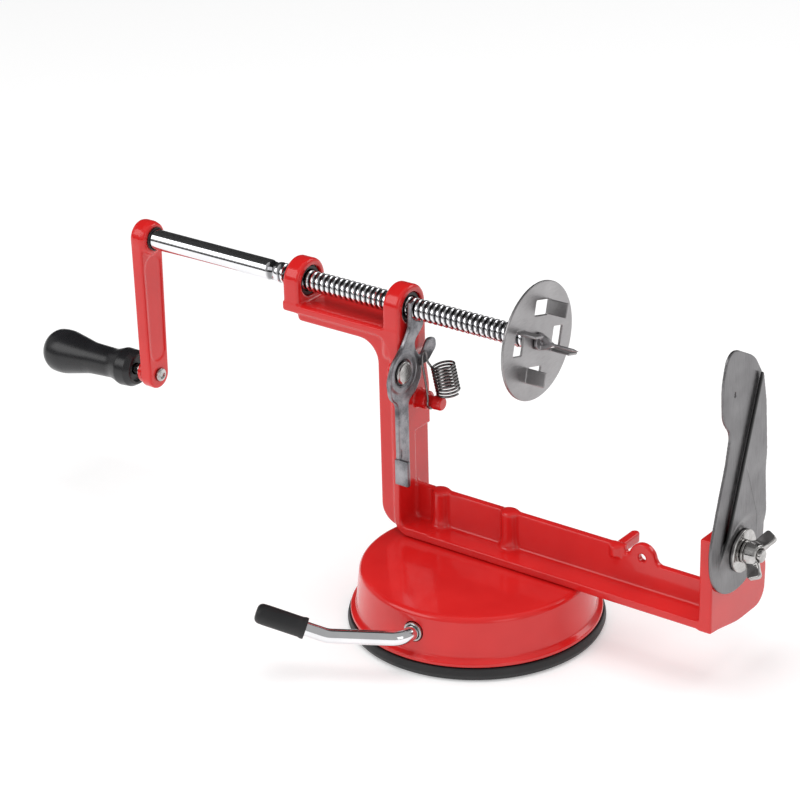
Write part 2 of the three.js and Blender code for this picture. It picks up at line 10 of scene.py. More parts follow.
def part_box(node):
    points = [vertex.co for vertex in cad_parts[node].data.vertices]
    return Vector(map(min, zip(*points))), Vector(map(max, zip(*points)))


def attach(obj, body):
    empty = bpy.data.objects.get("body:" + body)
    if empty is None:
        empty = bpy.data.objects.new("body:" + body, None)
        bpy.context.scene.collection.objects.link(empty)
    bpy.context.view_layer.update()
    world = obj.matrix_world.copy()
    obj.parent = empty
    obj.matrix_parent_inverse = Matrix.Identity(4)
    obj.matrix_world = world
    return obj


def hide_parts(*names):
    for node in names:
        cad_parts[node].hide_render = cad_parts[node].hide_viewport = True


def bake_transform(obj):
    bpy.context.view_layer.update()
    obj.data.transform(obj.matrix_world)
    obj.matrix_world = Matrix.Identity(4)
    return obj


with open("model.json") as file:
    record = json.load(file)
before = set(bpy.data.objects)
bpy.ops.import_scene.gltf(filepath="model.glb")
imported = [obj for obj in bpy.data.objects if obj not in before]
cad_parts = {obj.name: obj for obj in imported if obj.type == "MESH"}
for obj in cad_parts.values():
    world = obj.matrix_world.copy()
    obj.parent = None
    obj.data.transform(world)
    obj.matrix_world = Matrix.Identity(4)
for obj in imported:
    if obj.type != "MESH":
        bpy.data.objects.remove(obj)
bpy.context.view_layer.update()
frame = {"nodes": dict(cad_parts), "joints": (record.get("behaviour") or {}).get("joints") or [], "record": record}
bpy.context.view_layer.update()
print("frame loaded:", len(frame["nodes"]), "nodes")

mm = 0.001


# The low and high corners of a node's box.
def span(node):
    low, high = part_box(node)
    return np.array(low) / mm, np.array(high) / mm


def jointPoint(name):
    joint = next(j for j in frame["joints"] if j["name"] == name)
    return np.array(joint["pos_m"]) / mm


shaftY, shaftZ = jointPoint("crank_turn")[1:]
handleY, handleZ = jointPoint("handle_spin")[1:]
claspY, claspZ = jointPoint("clasp_pivot")[1:]
boltY, boltZ = jointPoint("blade_swing")[1:]
axleZ = jointPoint("suction_lever_turn")[2]
leverAxis = np.array(next(j for j in frame["joints"] if j["name"] == "suction_lever_turn")["axis"])
castingLow, castingHigh = span("frame_casting")


# Puts points (in millimetres) and faces into a mesh object that sits at the origin.
def addMesh(name, points, faces, smoothAngle=40):
    mesh = bpy.data.meshes.new(name)
    mesh.from_pydata((np.asarray(points) * mm).tolist(), [], faces.tolist())
    mesh.validate()
    mesh.update()
    piece = bpy.data.objects.new(name, mesh)
    bpy.context.scene.collection.objects.link(piece)
    mesh.polygons.foreach_set("use_smooth", np.ones(len(mesh.polygons), bool))
    if smoothAngle:
        mesh.set_sharp_from_angle(angle=math.radians(smoothAngle))
    return piece


# Merges doubled points at poles and seams, drops the faces that collapse, and turns all faces outwards.
def closeMesh(piece):
    work = bmesh.new()
    work.from_mesh(piece.data)
    bmesh.ops.remove_doubles(work, verts=work.verts, dist=1e-6)
    bmesh.ops.dissolve_degenerate(work, dist=1e-7, edges=work.edges)
    bmesh.ops.recalc_face_normals(work, faces=work.faces)
    work.to_mesh(piece.data)
    work.free()
    piece.data.set_sharp_from_angle(angle=math.radians(40))
    return piece


# Quads between neighbouring rows and columns of a grid of points; either way round can be closed.
def gridFaces(rows, columns, closeRows=False, closeColumns=True):
    i = np.arange(rows if closeRows else rows - 1)[:, None]
    j = np.arange(columns if closeColumns else columns - 1)[None, :]
    nextRow, nextColumn = (i + 1) % rows, (j + 1) % columns
    corners = [
        i * columns + j,
        i * columns + nextColumn,
        nextRow * columns + nextColumn,
        nextRow * columns + j,
    ]
    return np.stack([np.broadcast_to(c, (len(i), j.shape[1])).ravel() for c in corners], axis=1)


# Two unit vectors square to a direction.
def crossAxes(direction, hint=(0, 0, 1)):
    along = np.array(direction, float) / np.linalg.norm(direction)
    side = np.cross(hint, along)
    if np.linalg.norm(side) < 1e-6:
        side = np.cross((1, 0, 0), along)
    side /= np.linalg.norm(side)
    return along, side, np.cross(along, side)


# A path through spots in a plane or in space; each corner with a radius is an arc, tangent to both sides.
def roundedPath(spots, radii, closed=False, step=8):
    spots = np.asarray(spots, float)
    count = len(spots)
    path = []
    for i, (spot, radius) in enumerate(zip(spots, radii)):
        if radius == 0 or (not closed and i in (0, count - 1)):
            path.append(spot[None])
            continue
        back = spots[i - 1] - spot
        ahead = spots[(i + 1) % count] - spot
        back /= np.linalg.norm(back)
        ahead /= np.linalg.norm(ahead)
        half = math.acos(np.clip(back @ ahead, -1, 1)) / 2
        middle = back + ahead
        centre = spot + middle / np.linalg.norm(middle) * radius / math.sin(half)
        start = spot + back * radius / math.tan(half) - centre
        end = spot + ahead * radius / math.tan(half) - centre
        turn = math.pi - 2 * half
        t = np.linspace(0, 1, max(3, int(math.degrees(turn) / step) + 2))[:, None]
        path.append(centre + (np.sin((1 - t) * turn) * start + np.sin(t * turn) * end) / math.sin(turn))
    return np.concatenate(path)


# The same for corners written as (a, b) or (a, b, radius).
def cornered(corners, closed=False, step=8):
    return roundedPath([c[:2] for c in corners], [c[2] if len(c) > 2 else 0 for c in corners], closed, step)


# A profile of (distance along the axis, radius) points carried round an axis:
# point = origin + along * axis + radius * (cos turn * side + sin turn * up).
def turnedPiece(name, profile, origin, axis, sides=64):
    along, side, up = crossAxes(axis)
    profile = np.asarray(profile, float)
    turn = np.arange(sides) * 2 * math.pi / sides
    ring = np.cos(turn)[:, None] * side + np.sin(turn)[:, None] * up
    points = np.asarray(origin) + profile[:, None, :1] * along + profile[:, None, 1:2] * ring
    closed = profile[0, 1] > 1e-6
    faces = gridFaces(len(profile), sides, closeRows=closed)
    return closeMesh(addMesh(name, points.reshape(-1, 3), faces))


# A round section carried along a path: the section's plane is square to the path's tangent, and its
# first axis is the hint with the tangent's share taken away. Radius may change along the path.
def sweptPiece(name, path, radius, hint, sides=20):
    path = np.asarray(path, float)
    tangent = np.gradient(path, axis=0)
    tangent /= np.linalg.norm(tangent, axis=1)[:, None]
    hint = np.broadcast_to(np.asarray(hint, float), path.shape)
    first = hint - (hint * tangent).sum(1)[:, None] * tangent
    first /= np.linalg.norm(first, axis=1)[:, None]
    second = np.cross(tangent, first)
    radius = np.broadcast_to(radius, len(path))
    turn = np.arange(sides) * 2 * math.pi / sides
    ring = np.cos(turn)[None, :, None] * first[:, None] + np.sin(turn)[None, :, None] * second[:, None]
    points = path[:, None] + radius[:, None, None] * ring
    ends = [np.repeat(path[:1], sides, 0)[None], points, np.repeat(path[-1:], sides, 0)[None]]
    points = np.concatenate(ends)
    return closeMesh(addMesh(name, points.reshape(-1, 3), gridFaces(len(points), sides)))


# Solids as distance fields: negative inside, in millimetres.
def slab(v, low, high):  # between two planes
    return np.maximum(low - v, v - high)


# What all the fields share, its edges rounded by the radius: beyond the inset planes the distance is
# the root of the sum of squares.
def meet(radius, *fields):
    inset = [f + radius for f in fields]
    deepest = inset[0]
    total = np.maximum(inset[0], 0) ** 2
    for f in inset[1:]:
        deepest = np.maximum(deepest, f)
        total = total + np.maximum(f, 0) ** 2
    return np.minimum(deepest, 0) + np.sqrt(total) - radius


# The fields together, the corner between them filled with that radius.
def blend(radius, first, *others):
    whole = first
    for other in others:
        whole = -meet(radius, -whole, -other)
    return whole


# The whole without the tools, the edges of each cut rounded by the radius.
def carve(radius, whole, *tools):
    for tool in tools:
        whole = meet(radius, whole, -tool)
    return whole


# Distance to a closed outline: the nearest of its edges, negative where an even-odd count says inside.
def outline(u, v, corners, step=10):
    path = cornered(corners, closed=True, step=step)
    nearest = np.inf
    inside = False
    for (ax, ay), (bx, by) in zip(path, np.roll(path, -1, axis=0)):
        ex, ey = bx - ax, by - ay
        length = ex * ex + ey * ey
        if length < 1e-12:
            continue
        t = np.clip(((u - ax) * ex + (v - ay) * ey) / length, 0, 1)
        nearest = np.minimum(nearest, (u - ax - t * ex) ** 2 + (v - ay - t * ey) ** 2)
        if ey != 0:
            crosses = ((v >= ay) != (v >= by)) & (u < ax + (v - ay) * ex / ey)
            inside = inside ^ crosses
    return np.where(inside, -1, 1) * np.sqrt(nearest)


# Distance to a round-ended bar between two points of a plane, its radius changing along it.
def taperedBar(u, v, start, end, startRadius, endRadius):
    along = np.subtract(end, start)
    t = np.clip(((u - start[0]) * along[0] + (v - start[1]) * along[1]) / (along @ along), 0, 1)
    reach = np.hypot(u - start[0] - t * along[0], v - start[1] - t * along[1])
    return reach - (startRadius + t * (endRadius - startRadius))


def disk(u, v, centreU, centreV, radius):  # round a centre in a plane
    return np.hypot(u - centreU, v - centreV) - radius


# The zero surface of a field: one point in each cell that the surface crosses, at the mean of its
# crossings, then Newton steps on to the surface; a quad for each grid edge that it crosses.
def fieldPiece(name, field, low, high, cell):
    axes = [np.arange(a - 2 * cell, b + 3 * cell, cell) for a, b in zip(low, high)]
    x, y, z = np.meshgrid(*axes, indexing="ij", sparse=True)
    value = np.ascontiguousarray(np.broadcast_to(field(x, y, z), [len(a) for a in axes])).astype(np.float32)
    inside = value < 0
    size = [n - 1 for n in value.shape]
    count = np.zeros(size, np.int8)
    offsets = [(a, b, c) for a in (0, 1) for b in (0, 1) for c in (0, 1)]
    for a, b, c in offsets:
        count += inside[a:a + size[0], b:b + size[1], c:c + size[2]]
    cells = np.argwhere((count > 0) & (count < 8))
    number = np.full(size, -1, np.int64)
    number[tuple(cells.T)] = np.arange(len(cells))
    total = np.zeros((len(cells), 3))
    hits = np.zeros(len(cells))
    for start in offsets:
        for axis in range(3):
            if start[axis]:
                continue
            end = np.array(start)
            end[axis] = 1
            first = value[tuple((cells + start).T)]
            second = value[tuple((cells + end).T)]
            crossed = (first < 0) != (second < 0)
            share = np.where(crossed, first / np.where(crossed, first - second, 1), 0)
            spot = cells + np.array(start, float)
            spot[:, axis] += share
            total += np.where(crossed[:, None], spot, 0)
            hits += crossed
    origin = np.array([a[0] for a in axes])
    points = origin + cell * total / hits[:, None]
    probe, newtonSteps = 0.02, 3
    for _ in range(newtonSteps):
        here = field(*points.T)
        slope = np.stack([field(*(points + probe * np.eye(3)[k]).T) - here for k in range(3)], axis=1) / probe
        step = here[:, None] * slope / np.maximum((slope ** 2).sum(1), 0.25)[:, None]
        points = points - np.clip(step, -0.4 * cell, 0.4 * cell)
    faces = []
    for axis in range(3):
        lower = np.moveaxis(inside, axis, 0)
        cellNumber = np.moveaxis(number, axis, 0)
        edges = np.argwhere(lower[:-1, 1:-1, 1:-1] != lower[1:, 1:-1, 1:-1])
        i, j, k = edges.T
        around = ((0, 0), (1, 0), (1, 1), (0, 1))
        quad = np.stack([cellNumber[i, j + a, k + b] for a, b in around], axis=1)
        outward = lower[i, j + 1, k + 1] != (axis == 1)
        faces.append(np.where(outward[:, None], quad, quad[:, ::-1]))
    print("  ", name, len(points), "points")
    return addMesh(name, points, np.concatenate(faces), smoothAngle=None)


# Finishes: a node socket that Python arithmetic can use: each operator adds one Math node.
class Signal:
    def __init__(self, finish, socket):
        self.finish = finish
        self.socket = socket

    def join(self, operation, first, second):
        return self.finish.node("ShaderNodeMath", {"operation": operation}, {0: first, 1: second})

    def __add__(self, other):
        return self.join("ADD", self, other)

    def __radd__(self, other):
        return self.join("ADD", other, self)

    def __sub__(self, other):
        return self.join("SUBTRACT", self, other)

    def __rsub__(self, other):
        return self.join("SUBTRACT", other, self)

    def __mul__(self, other):
        return self.join("MULTIPLY", self, other)

    def __rmul__(self, other):
        return self.join("MULTIPLY", other, self)

    def __pow__(self, other):
        return self.join("POWER", self, other)


class Finish:
    def __init__(self, name):
        self.material = bpy.data.materials.new(name)
        self.material.use_nodes = True
        self.tree = self.material.node_tree
        self.shader = self.tree.nodes["Principled BSDF"]
        self.place = self.node("ShaderNodeTexCoord", output="Object")

    def feed(self, socket, value):
        if isinstance(value, Signal):
            self.tree.links.new(value.socket, socket)
        else:
            socket.default_value = value

    # Any node: its settings first, then the values or links of its sockets.
    def node(self, kind, settings=None, sockets=None, output=0):
        made = self.tree.nodes.new(kind)
        for key, value in (settings or {}).items():
            if key == "stops":
                for spot, (position, shade) in zip(self.rampStops(made, len(value)), value):
                    spot.position = position
                    spot.color = (*shade, 1) if np.ndim(shade) else (shade, shade, shade, 1)
            else:
                setattr(made, key, value)
        for key, value in (sockets or {}).items():
            self.feed(made.inputs[key], value)
        return Signal(self, made.outputs[output])

    def rampStops(self, ramp, count):
        stops = ramp.color_ramp.elements
        while len(stops) < count:
            stops.new(0.5)
        return stops

    # A grey noise of a grain size in millimetres; stretch lengthens the grain along each axis.
    def grain(self, size, detail=3, stretch=(1, 1, 1), roughness=0.55):
        spread = self.node("ShaderNodeMapping", {}, {"Vector": self.place, "Scale": [1 / s for s in stretch]})
        sockets = {"Vector": spread, "Scale": 1 / (size * mm), "Detail": detail, "Roughness": roughness}
        return self.node("ShaderNodeTexNoise", {}, sockets)

    # A straight ramp between two values, held level outside them.
    def ramp(self, signal, low, high, fromLow=0.3, fromHigh=0.7):
        sockets = {"Value": signal, "From Min": fromLow, "From Max": fromHigh, "To Min": low, "To Max": high}
        return self.node("ShaderNodeMapRange", {}, sockets)

    # One of the object's own coordinates, in metres.
    def axis(self, index):
        return self.node("ShaderNodeSeparateXYZ", {}, {"Vector": self.place}, output=index)

    def blendColours(self, share, first, second):
        first, second = [c if isinstance(c, Signal) else (*c, 1) for c in (first, second)]
        return self.node("ShaderNodeMix", {"data_type": "RGBA"}, {0: share, 6: first, 7: second}, output=2)

    def bump(self, height, depth, strength=1.0, under=None):
        sockets = {"Height": height, "Distance": depth * mm, "Strength": strength}
        if under is not None:
            sockets["Normal"] = under
        return self.node("ShaderNodeBump", {}, sockets)

    def shade(self, **values):
        for key, value in values.items():
            socket = self.shader.inputs[shaderSockets[key]]
            self.feed(socket, (*value, 1) if isinstance(value, tuple) and len(value) == 3 else value)
        return self.material


shaderSockets = {
    "colour": "Base Color",
    "roughness": "Roughness",
    "metal": "Metallic",
    "coat": "Coat Weight",
    "coatRoughness": "Coat Roughness",
    "ior": "IOR",
    "normal": "Normal",
    "sheen": "Sheen Weight",
    "specular": "Specular IOR Level",
}


def glossPaint():
    f = Finish("gloss red paint")
    cloud = f.grain(28, 2)
    peel = f.grain(2.2, 2)
    speck = f.grain(0.25, 2)
    return f.shade(
        colour=f.blendColours(f.ramp(cloud, 0, 1), (0.64, 0.012, 0.012), (0.72, 0.018, 0.017)),
        roughness=f.ramp(speck + 0.4 * cloud, 0.16, 0.24, 0.4, 1.0),
        normal=f.bump(peel, 0.02, 0.5),
        coat=0.4,
        coatRoughness=0.05,
        ior=1.42,
    )


# The valley (y, z, bottom, top) is painted shade: the colour falls to near black between the top radius and the
# bottom radius round that line along X, standing in for the shade in the thread's troughs.
def chromePlate(name, paintedTroughShade=None):
    f = Finish(name)
    haze = f.grain(9, 4)
    scuff = f.grain(0.35, 3, (14, 1, 1))
    colour = f.blendColours(f.ramp(haze, 0, 1), (0.82, 0.82, 0.84), (0.9, 0.9, 0.92))
    if paintedTroughShade:
        centreY, centreZ, bottom, top = paintedTroughShade
        across, up = f.axis(1) - centreY * mm, f.axis(2) - centreZ * mm
        reach = (across * across + up * up) ** 0.5
        colour = f.blendColours(f.ramp(reach, 0, 1, bottom * mm, top * mm), (0.05, 0.05, 0.055), colour)
    return f.shade(
        colour=colour,
        roughness=f.ramp(scuff, 0.05, 0.12),
        normal=f.bump(scuff, 0.003, 0.3),
        metal=1.0,
    )


# Rolled stainless sheet, brushed along the axis that the stretch lengthens. A painted shadow line is a straight
# line between two (y, z) points with a width and a shade, dark along its middle and faded at its ends; it stands
# in for the shade along a step or a crease.
def brushedSteel(name, stretch, dark, light, rough=(0.26, 0.42), shadowLines=()):
    f = Finish(name)
    brush = f.grain(0.22, 4, stretch)
    cloud = f.grain(16, 3)
    colour = f.blendColours(f.ramp(0.6 * brush + 0.4 * cloud, 0, 1), dark, light)
    for (startY, startZ), (endY, endZ), width, shade in shadowLines:
        run = math.hypot(endY - startY, endZ - startZ)
        alongY, alongZ = (endY - startY) / run, (endZ - startZ) / run
        across, up = f.axis(1) - startY * mm, f.axis(2) - startZ * mm
        off = across * alongZ - up * alongY
        share = f.ramp((off * off) ** 0.5, 1, 0, 0.4 * width * mm, width * mm)
        share = share * f.ramp(up, 0, 1, -4 * mm, 4 * mm)
        rise = endZ - startZ
        share = share * f.ramp(up, 1, 0, (rise - 2) * mm, (rise + 2) * mm)
        colour = f.blendColours(share, colour, (shade, shade, shade))
    return f.shade(
        colour=colour,
        roughness=f.ramp(brush, rough[0], rough[1]),
        normal=f.bump(brush, 0.012, 0.5),
        metal=1.0,
    )


def tumbledSteel():
    f = Finish("tumbled cast steel")
    grit = f.grain(0.5, 5)
    cloud = f.grain(7, 4)
    patches = f.ramp(cloud + 0.5 * grit, 0, 1, 0.55, 0.95)
    return f.shade(
        colour=f.blendColours(patches, (0.09, 0.09, 0.1), (0.38, 0.38, 0.4)),
        roughness=f.ramp(grit, 0.26, 0.4),
        normal=f.bump(grit + cloud, 0.08, 0.6),
        metal=0.95,
    )


def nickelPlate():
    f = Finish("nickel plate")
    haze = f.grain(3, 4)
    pit = f.grain(0.4, 3)
    return f.shade(
        colour=f.blendColours(f.ramp(haze, 0, 1), (0.36, 0.35, 0.34), (0.6, 0.59, 0.58)),
        roughness=f.ramp(pit, 0.08, 0.2),
        normal=f.bump(pit, 0.012, 0.4),
        metal=1.0,
    )


def darkSteel():
    f = Finish("oiled dark steel")
    pit = f.grain(0.3, 3)
    return f.shade(
        colour=f.blendColours(f.ramp(pit, 0, 1), (0.06, 0.06, 0.065), (0.16, 0.16, 0.17)),
        roughness=f.ramp(pit, 0.3, 0.5),
        normal=f.bump(pit, 0.01, 0.4),
        metal=1.0,
    )


# Moulded plastic or rubber, with pebbles of a size and depth in millimetres.
def blackPlastic(name, dark, light, rough, depth, size):
    f = Finish(name)
    pebble = f.grain(size, 3)
    cloud = f.grain(14, 2)
    return f.shade(
        colour=f.blendColours(f.ramp(cloud, 0, 1), dark, light),
        roughness=f.ramp(pebble, rough[0], rough[1]),
        normal=f.bump(pebble, depth, 0.5),
        ior=1.5,
    )


finishes = {
    "red_paint": glossPaint(),
    "chrome": chromePlate("polished chrome"),
    "stainless": brushedSteel("brushed stainless", (1, 1, 30), (0.26, 0.25, 0.26), (0.42, 0.41, 0.42)),
    "cast_steel": tumbledSteel(),
    "nickel": nickelPlate(),
    "dark_steel": darkSteel(),
    "black_grip": blackPlastic(
        "satin black grip", (0.008, 0.008, 0.009), (0.014, 0.014, 0.016), (0.24, 0.36), 0.01, 0.5),
    "black_rubber": blackPlastic(
        "black rubber", (0.008, 0.008, 0.009), (0.016, 0.016, 0.017), (0.42, 0.6), 0.03, 0.3),
    "nylon": blackPlastic(
        "black nylon", (0.006, 0.006, 0.007), (0.012, 0.012, 0.013), (0.35, 0.5), 0.01, 0.4),
}
# The thread's troughs get painted shade, near black round the shaft's axis between these radii.
threadChrome = chromePlate("polished chrome thread", (shaftY, shaftZ, 4.25, 4.85))
discSteel = brushedSteel("brushed disc steel", (1, 22, 1), (0.28, 0.27, 0.275), (0.45, 0.44, 0.445))
# The blade's two dark lines are painted shade: one along the step of the cutting slit, one along the crease beyond
# it.
bladeSteel = brushedSteel(
    "brushed blade steel", (1, 1, 30), (0.14, 0.135, 0.14), (0.29, 0.285, 0.29),
    shadowLines=(((5.3, 62), (35.2, 142.5), 0.9, 0.08), ((36.3, 67.7), (24.5, 99.4), 0.45, 0.08)))
springSteel = brushedSteel("drawn spring wire", (1, 1, 1), (0.1, 0.1, 0.1), (0.28, 0.27, 0.27), (0.16, 0.28))
print("finishes made")


# Gives a piece its material (the slot's finish unless one is given) and body, and hides the CAD nodes that it
# stands for.
def fit(piece, body, slot, nodes, material=None):
    piece.data.materials.clear()
    piece.data.materials.append(material or finishes[slot])
    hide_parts(*nodes)
    if body:
        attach(piece, body)
    return piece


# The casting.
casting = {
    "edge": 0.8,  # radius of its outer edges
    "fillet": 1.8,  # radius where its parts meet
    "armTop": 132,
    "flange": 3.4,  # thickness of the ribbon that joins arm, post and rail
    "web": (3.3, 7.3),  # the web behind the ribbon's front edge, front and back
    "webFoot": 32.3,
    "postWiden": 3.8,  # how much further back the post reaches below the arm
    "recess": (77.8, 1.5),  # top and depth of the hollow in the post's face
    "lugRadius": 10.8,
    "bore": 7.4,
    "wall": (14.3, 17.8),  # the rail's upright wall, front and back
    "wallTops": (51, 46.2),
    "ear": (80.3, 48, 6.7, 2.0),  # x, z, radius and hole of the ear on the wall
    "bosses": (-30, 8.8),
    "bossRadius": 4.2,
    "bossTop": 51.6,
    "sag": 4.8,  # how far the bracket's lower edge hangs below the rail
    "bracketTop": 74,
    "boltHole": 3.3,
    "stub": (66.2, 31, 2.2),  # x, y and radius of the stub behind the rail
    "seatRadius": 4.6,
    "peg": (18.5, 93.6),  # y and z of the spring's peg
    "cell": 0.62,
}
rearLug = (castingLow[0], castingLow[0] + 9.2)
frontLug = (-52.3, -42.9)
bracket = (castingHigh[0] - 6.3, castingHigh[0])
frontEdge, backEdge, railBottom = 1.8, 23.4, span("base_housing")[1][2] + 0.3
railFloor = railBottom + 4
postBack, postFront = -48, -44.4
pegY, pegZ = casting["peg"]
pinHole = 2.9  # radius round the clasp's pin


# The top arm, post and foot are one ribbon seen from the front, and the post's back edge slants out
# below the arm.
def ribbonField(x, y, z):
    armTop, flange = casting["armTop"], casting["flange"]
    ribbon = outline(x, z, [
        (rearLug[0], armTop - flange), (postBack, armTop - flange, 9), (postBack, railBottom, 7.5),
        (-30, railBottom), (-30, railFloor), (postFront, railFloor, 4.1),
        (postFront, armTop), (rearLug[0], armTop)])
    top, depth = casting["recess"]
    recess = meet(0.5, slab(x, postFront - depth, -30), slab(y, 15.4, 40), slab(z, 37.5, top))
    backReach = backEdge + casting["postWiden"] * np.clip((120 - z) / 22, 0, 1)
    ribbon = meet(casting["edge"], ribbon, frontEdge - 3 - y, y - backReach)
    return carve(0.4, ribbon, recess)


# The rail: its floor, its upright wall with the ear, and the stub behind it.
def railFields(x, y, z):
    edge = casting["edge"]
    wallFront, wallBack = casting["wall"]
    highTop, lowTop = casting["wallTops"]
    earX, earZ, earRadius, _ = casting["ear"]
    stubX, stubY, stubRadius = casting["stub"]
    level = slab(z, railBottom - 1, railFloor)
    floor = meet(edge, slab(x, -42, bracket[1] + 3), slab(y, -2, wallBack), level)
    high = meet(0.1, slab(x, postBack + 1, 71), slab(z, railBottom + 1, highTop))
    low = meet(0.1, slab(x, postBack + 1, bracket[1] - 1), slab(z, railBottom + 1, lowTop))
    upright = blend(3.5, high, low, disk(x, z, earX, earZ, earRadius))
    stub = taperedBar(x, y, (stubX, wallBack - 3), (stubX, stubY), stubRadius, stubRadius)
    return floor, meet(edge, upright, slab(y, wallFront, wallBack)), meet(0.8, stub, slab(z, 45, 50))


# Ribbon, web, lugs and rail flow together, cut flat below; the bracket, the screw bosses, the clasp's
# seat and the spring's peg join them, and the bores are carved last.
def castingField(x, y, z):
    edge, fillet, armTop = casting["edge"], casting["fillet"], casting["armTop"]
    webFoot, lugRadius = casting["webFoot"], casting["lugRadius"]
    web = outline(x, z, [
        (-103, armTop - 1), (-102.4, 124.3, 2), (-56.3, 124.3, 10.5), (-56.3, webFoot, 10),
        (postFront - 1, webFoot), (postFront - 1, armTop - 1)])
    web = meet(edge, web, slab(y, *casting["web"]))
    lugBar = taperedBar(y, z, (shaftY, 100), (shaftY, shaftZ), lugRadius, lugRadius)
    rear = meet(1.9, lugBar, slab(x, *rearLug), armTop - casting["flange"] - z)
    front = meet(1.9, lugBar, slab(x, *frontLug), 118 - z)
    low, top = railBottom - casting["sag"], casting["bracketTop"]
    plate = outline(y, z, [
        (-1, railBottom + 0.5), (frontEdge, railBottom), (26, low, 30), (49, low, 8.5),
        (50, 44, 14), (36, top, 3), (-1, top)])
    plate = meet(edge, plate, slab(x, bracket[0], bracket[1] + 3))
    floor, wall, stub = railFields(x, y, z)
    whole = blend(fillet, ribbonField(x, y, z), web, rear, front, floor, wall, stub)
    whole = blend(fillet, meet(edge, whole, railBottom - z), plate)
    for bossX in casting["bosses"]:
        flare = 1.2 * np.clip((40 - z) / 7, 0, 1) ** 2
        boss = disk(x, y, bossX, casting["wall"][0] + 0.9, casting["bossRadius"] + flare)
        whole = blend(1.2, whole, meet(1.8, boss, slab(z, railFloor - 2, casting["bossTop"])))
    whole = meet(edge, whole, frontEdge - y, x - bracket[1])
    seat = meet(0.8, disk(y, z, claspY, claspZ, casting["seatRadius"]), slab(x, -46, -42.6))
    root = meet(0.5, disk(y, z, pegY, pegZ, 4.4), slab(x, -46, -38.6))
    neck = meet(0.3, disk(y, z, pegY, pegZ, 2.8), slab(x, -46, -33))
    head = meet(0.9, disk(y, z, pegY, pegZ, 3.5 - 0.04 * (x + 36)), slab(x, -35.6, -30.6))
    whole = blend(1.0, whole, seat, root)
    whole = blend(0.4, whole, neck, head)
    shaftBore = disk(y, z, shaftY, shaftZ, casting["bore"])
    earX, earZ, _, earHole = casting["ear"]
    return carve(
        0.5,
        whole,
        np.maximum(shaftBore, x + 98),
        np.maximum(shaftBore, slab(x, -60, -30)),
        np.maximum(disk(x, z, earX, earZ, earHole), slab(y, 0, 30)),
        np.maximum(disk(y, z, boltY, boltZ, casting["boltHole"]), slab(x, 110, 130)),
    )


castingPiece = fieldPiece(
    "cast_frame",
    castingField,
    (castingLow[0], -8, railBottom - 5),
    (castingHigh[0], 51, 153),
    casting["cell"],
)
fit(castingPiece, "frame", "red_paint", ["frame_casting"])
print("casting done")

bushes = (("rear_bush_ring", "rear_bush", rearLug), ("front_bush_ring", "front_bush", frontLug))
for name, node, lugX in bushes:
    low, high = lugX[0] + 1, lugX[1] - 1
    ring = turnedPiece(name, cornered([
        (low, 5.4, 0.4), (low, 7.1, 0.3), (high, 7.1, 0.3), (high, 5.4, 0.4)], closed=True),
        (0, shaftY, shaftZ), (1, 0, 0), 72)
    fit(ring, "frame", "nylon", [node])


# Suction base.
housingTop = span("base_housing")[1][2]
base = {
    "radius": 53.9,  # at the top edge
    "lip": 58.5,
    "wall": 1.5,
    "sides": 200,
    "rodHole": 4.95,
}


# A turned shell, with a round hole drilled through its wall for the lever's rod.
def baseHousing():
    top, wall, lip, hole = housingTop, base["wall"], base["lip"], base["rodHole"]
    shell = turnedPiece("base_shell", cornered([
        (top, 0), (top, base["radius"], 3.0), (9.4, 55.9, 1.4), (8.0, lip, 0.9), (6.2, lip, 0.5),
        (6.2, 56.4, 0.4), (9.6, 54.4, 1.2), (top - wall, 52.4, 2), (top - wall, 0),
    ], step=12), (0, 0, 0), (0, 0, 1), base["sides"])
    drill = turnedPiece("drill", [(46, 0), (46, hole), (60, hole), (60, 0)], (0, 0, axleZ), -leverAxis, 48)
    drilling = shell.modifiers.new("hole", "BOOLEAN")
    drilling.operation = "DIFFERENCE"
    drilling.object = drill
    bpy.context.view_layer.update()
    drilled = shell.evaluated_get(bpy.context.evaluated_depsgraph_get())
    cut = bpy.data.meshes.new_from_object(drilled)
    shell.modifiers.clear()
    shell.data = cut
    bpy.data.objects.remove(drill)
    cut.set_sharp_from_angle(angle=math.radians(40))
    return shell


fit(baseHousing(), "frame", "red_paint", ["base_housing"])
pad = turnedPiece("suction_pad_rim", cornered([
    (0, 0), (0, 59, 1.6), (2.6, 60, 1.2), (5.8, 59.2, 0.9), (5.8, 53.4, 0.3), (2.6, 50, 1.0),
    (2.6, 9, 1.0), (3.5, 8.4, 0.3), (3.5, 0)], step=15), (0, 0, 0), (0, 0, 1), 160)
fit(pad, "frame", "black_rubber", ["suction_pad"])
gland = turnedPiece("rod_gland", cornered([
    (51.5, 3.65), (51.5, 4.6, 0.2), (55.9, 4.6, 0.4), (55.9, 3.65, 0.2)],
    closed=True), (0, 0, axleZ), -leverAxis, 56)
fit(gland, "frame", "nickel", ["lever_gland"])


# Suction lever.
lever = {
    "radius": 3.4,
    "reach": 62.6,  # along the axle to the first bend
    "run": (-31.2, -15.0, 0),  # from the first bend to the second, across and along the axle
    "rise": (-25.8, -12.4, 9.8),
    "bends": (9, 14),
    "gripLength": 22,
    "gripOver": 1.8,  # how far the grip covers the rod's end
    "inside": 26,  # length of rod inside the housing, past the axle's middle
}


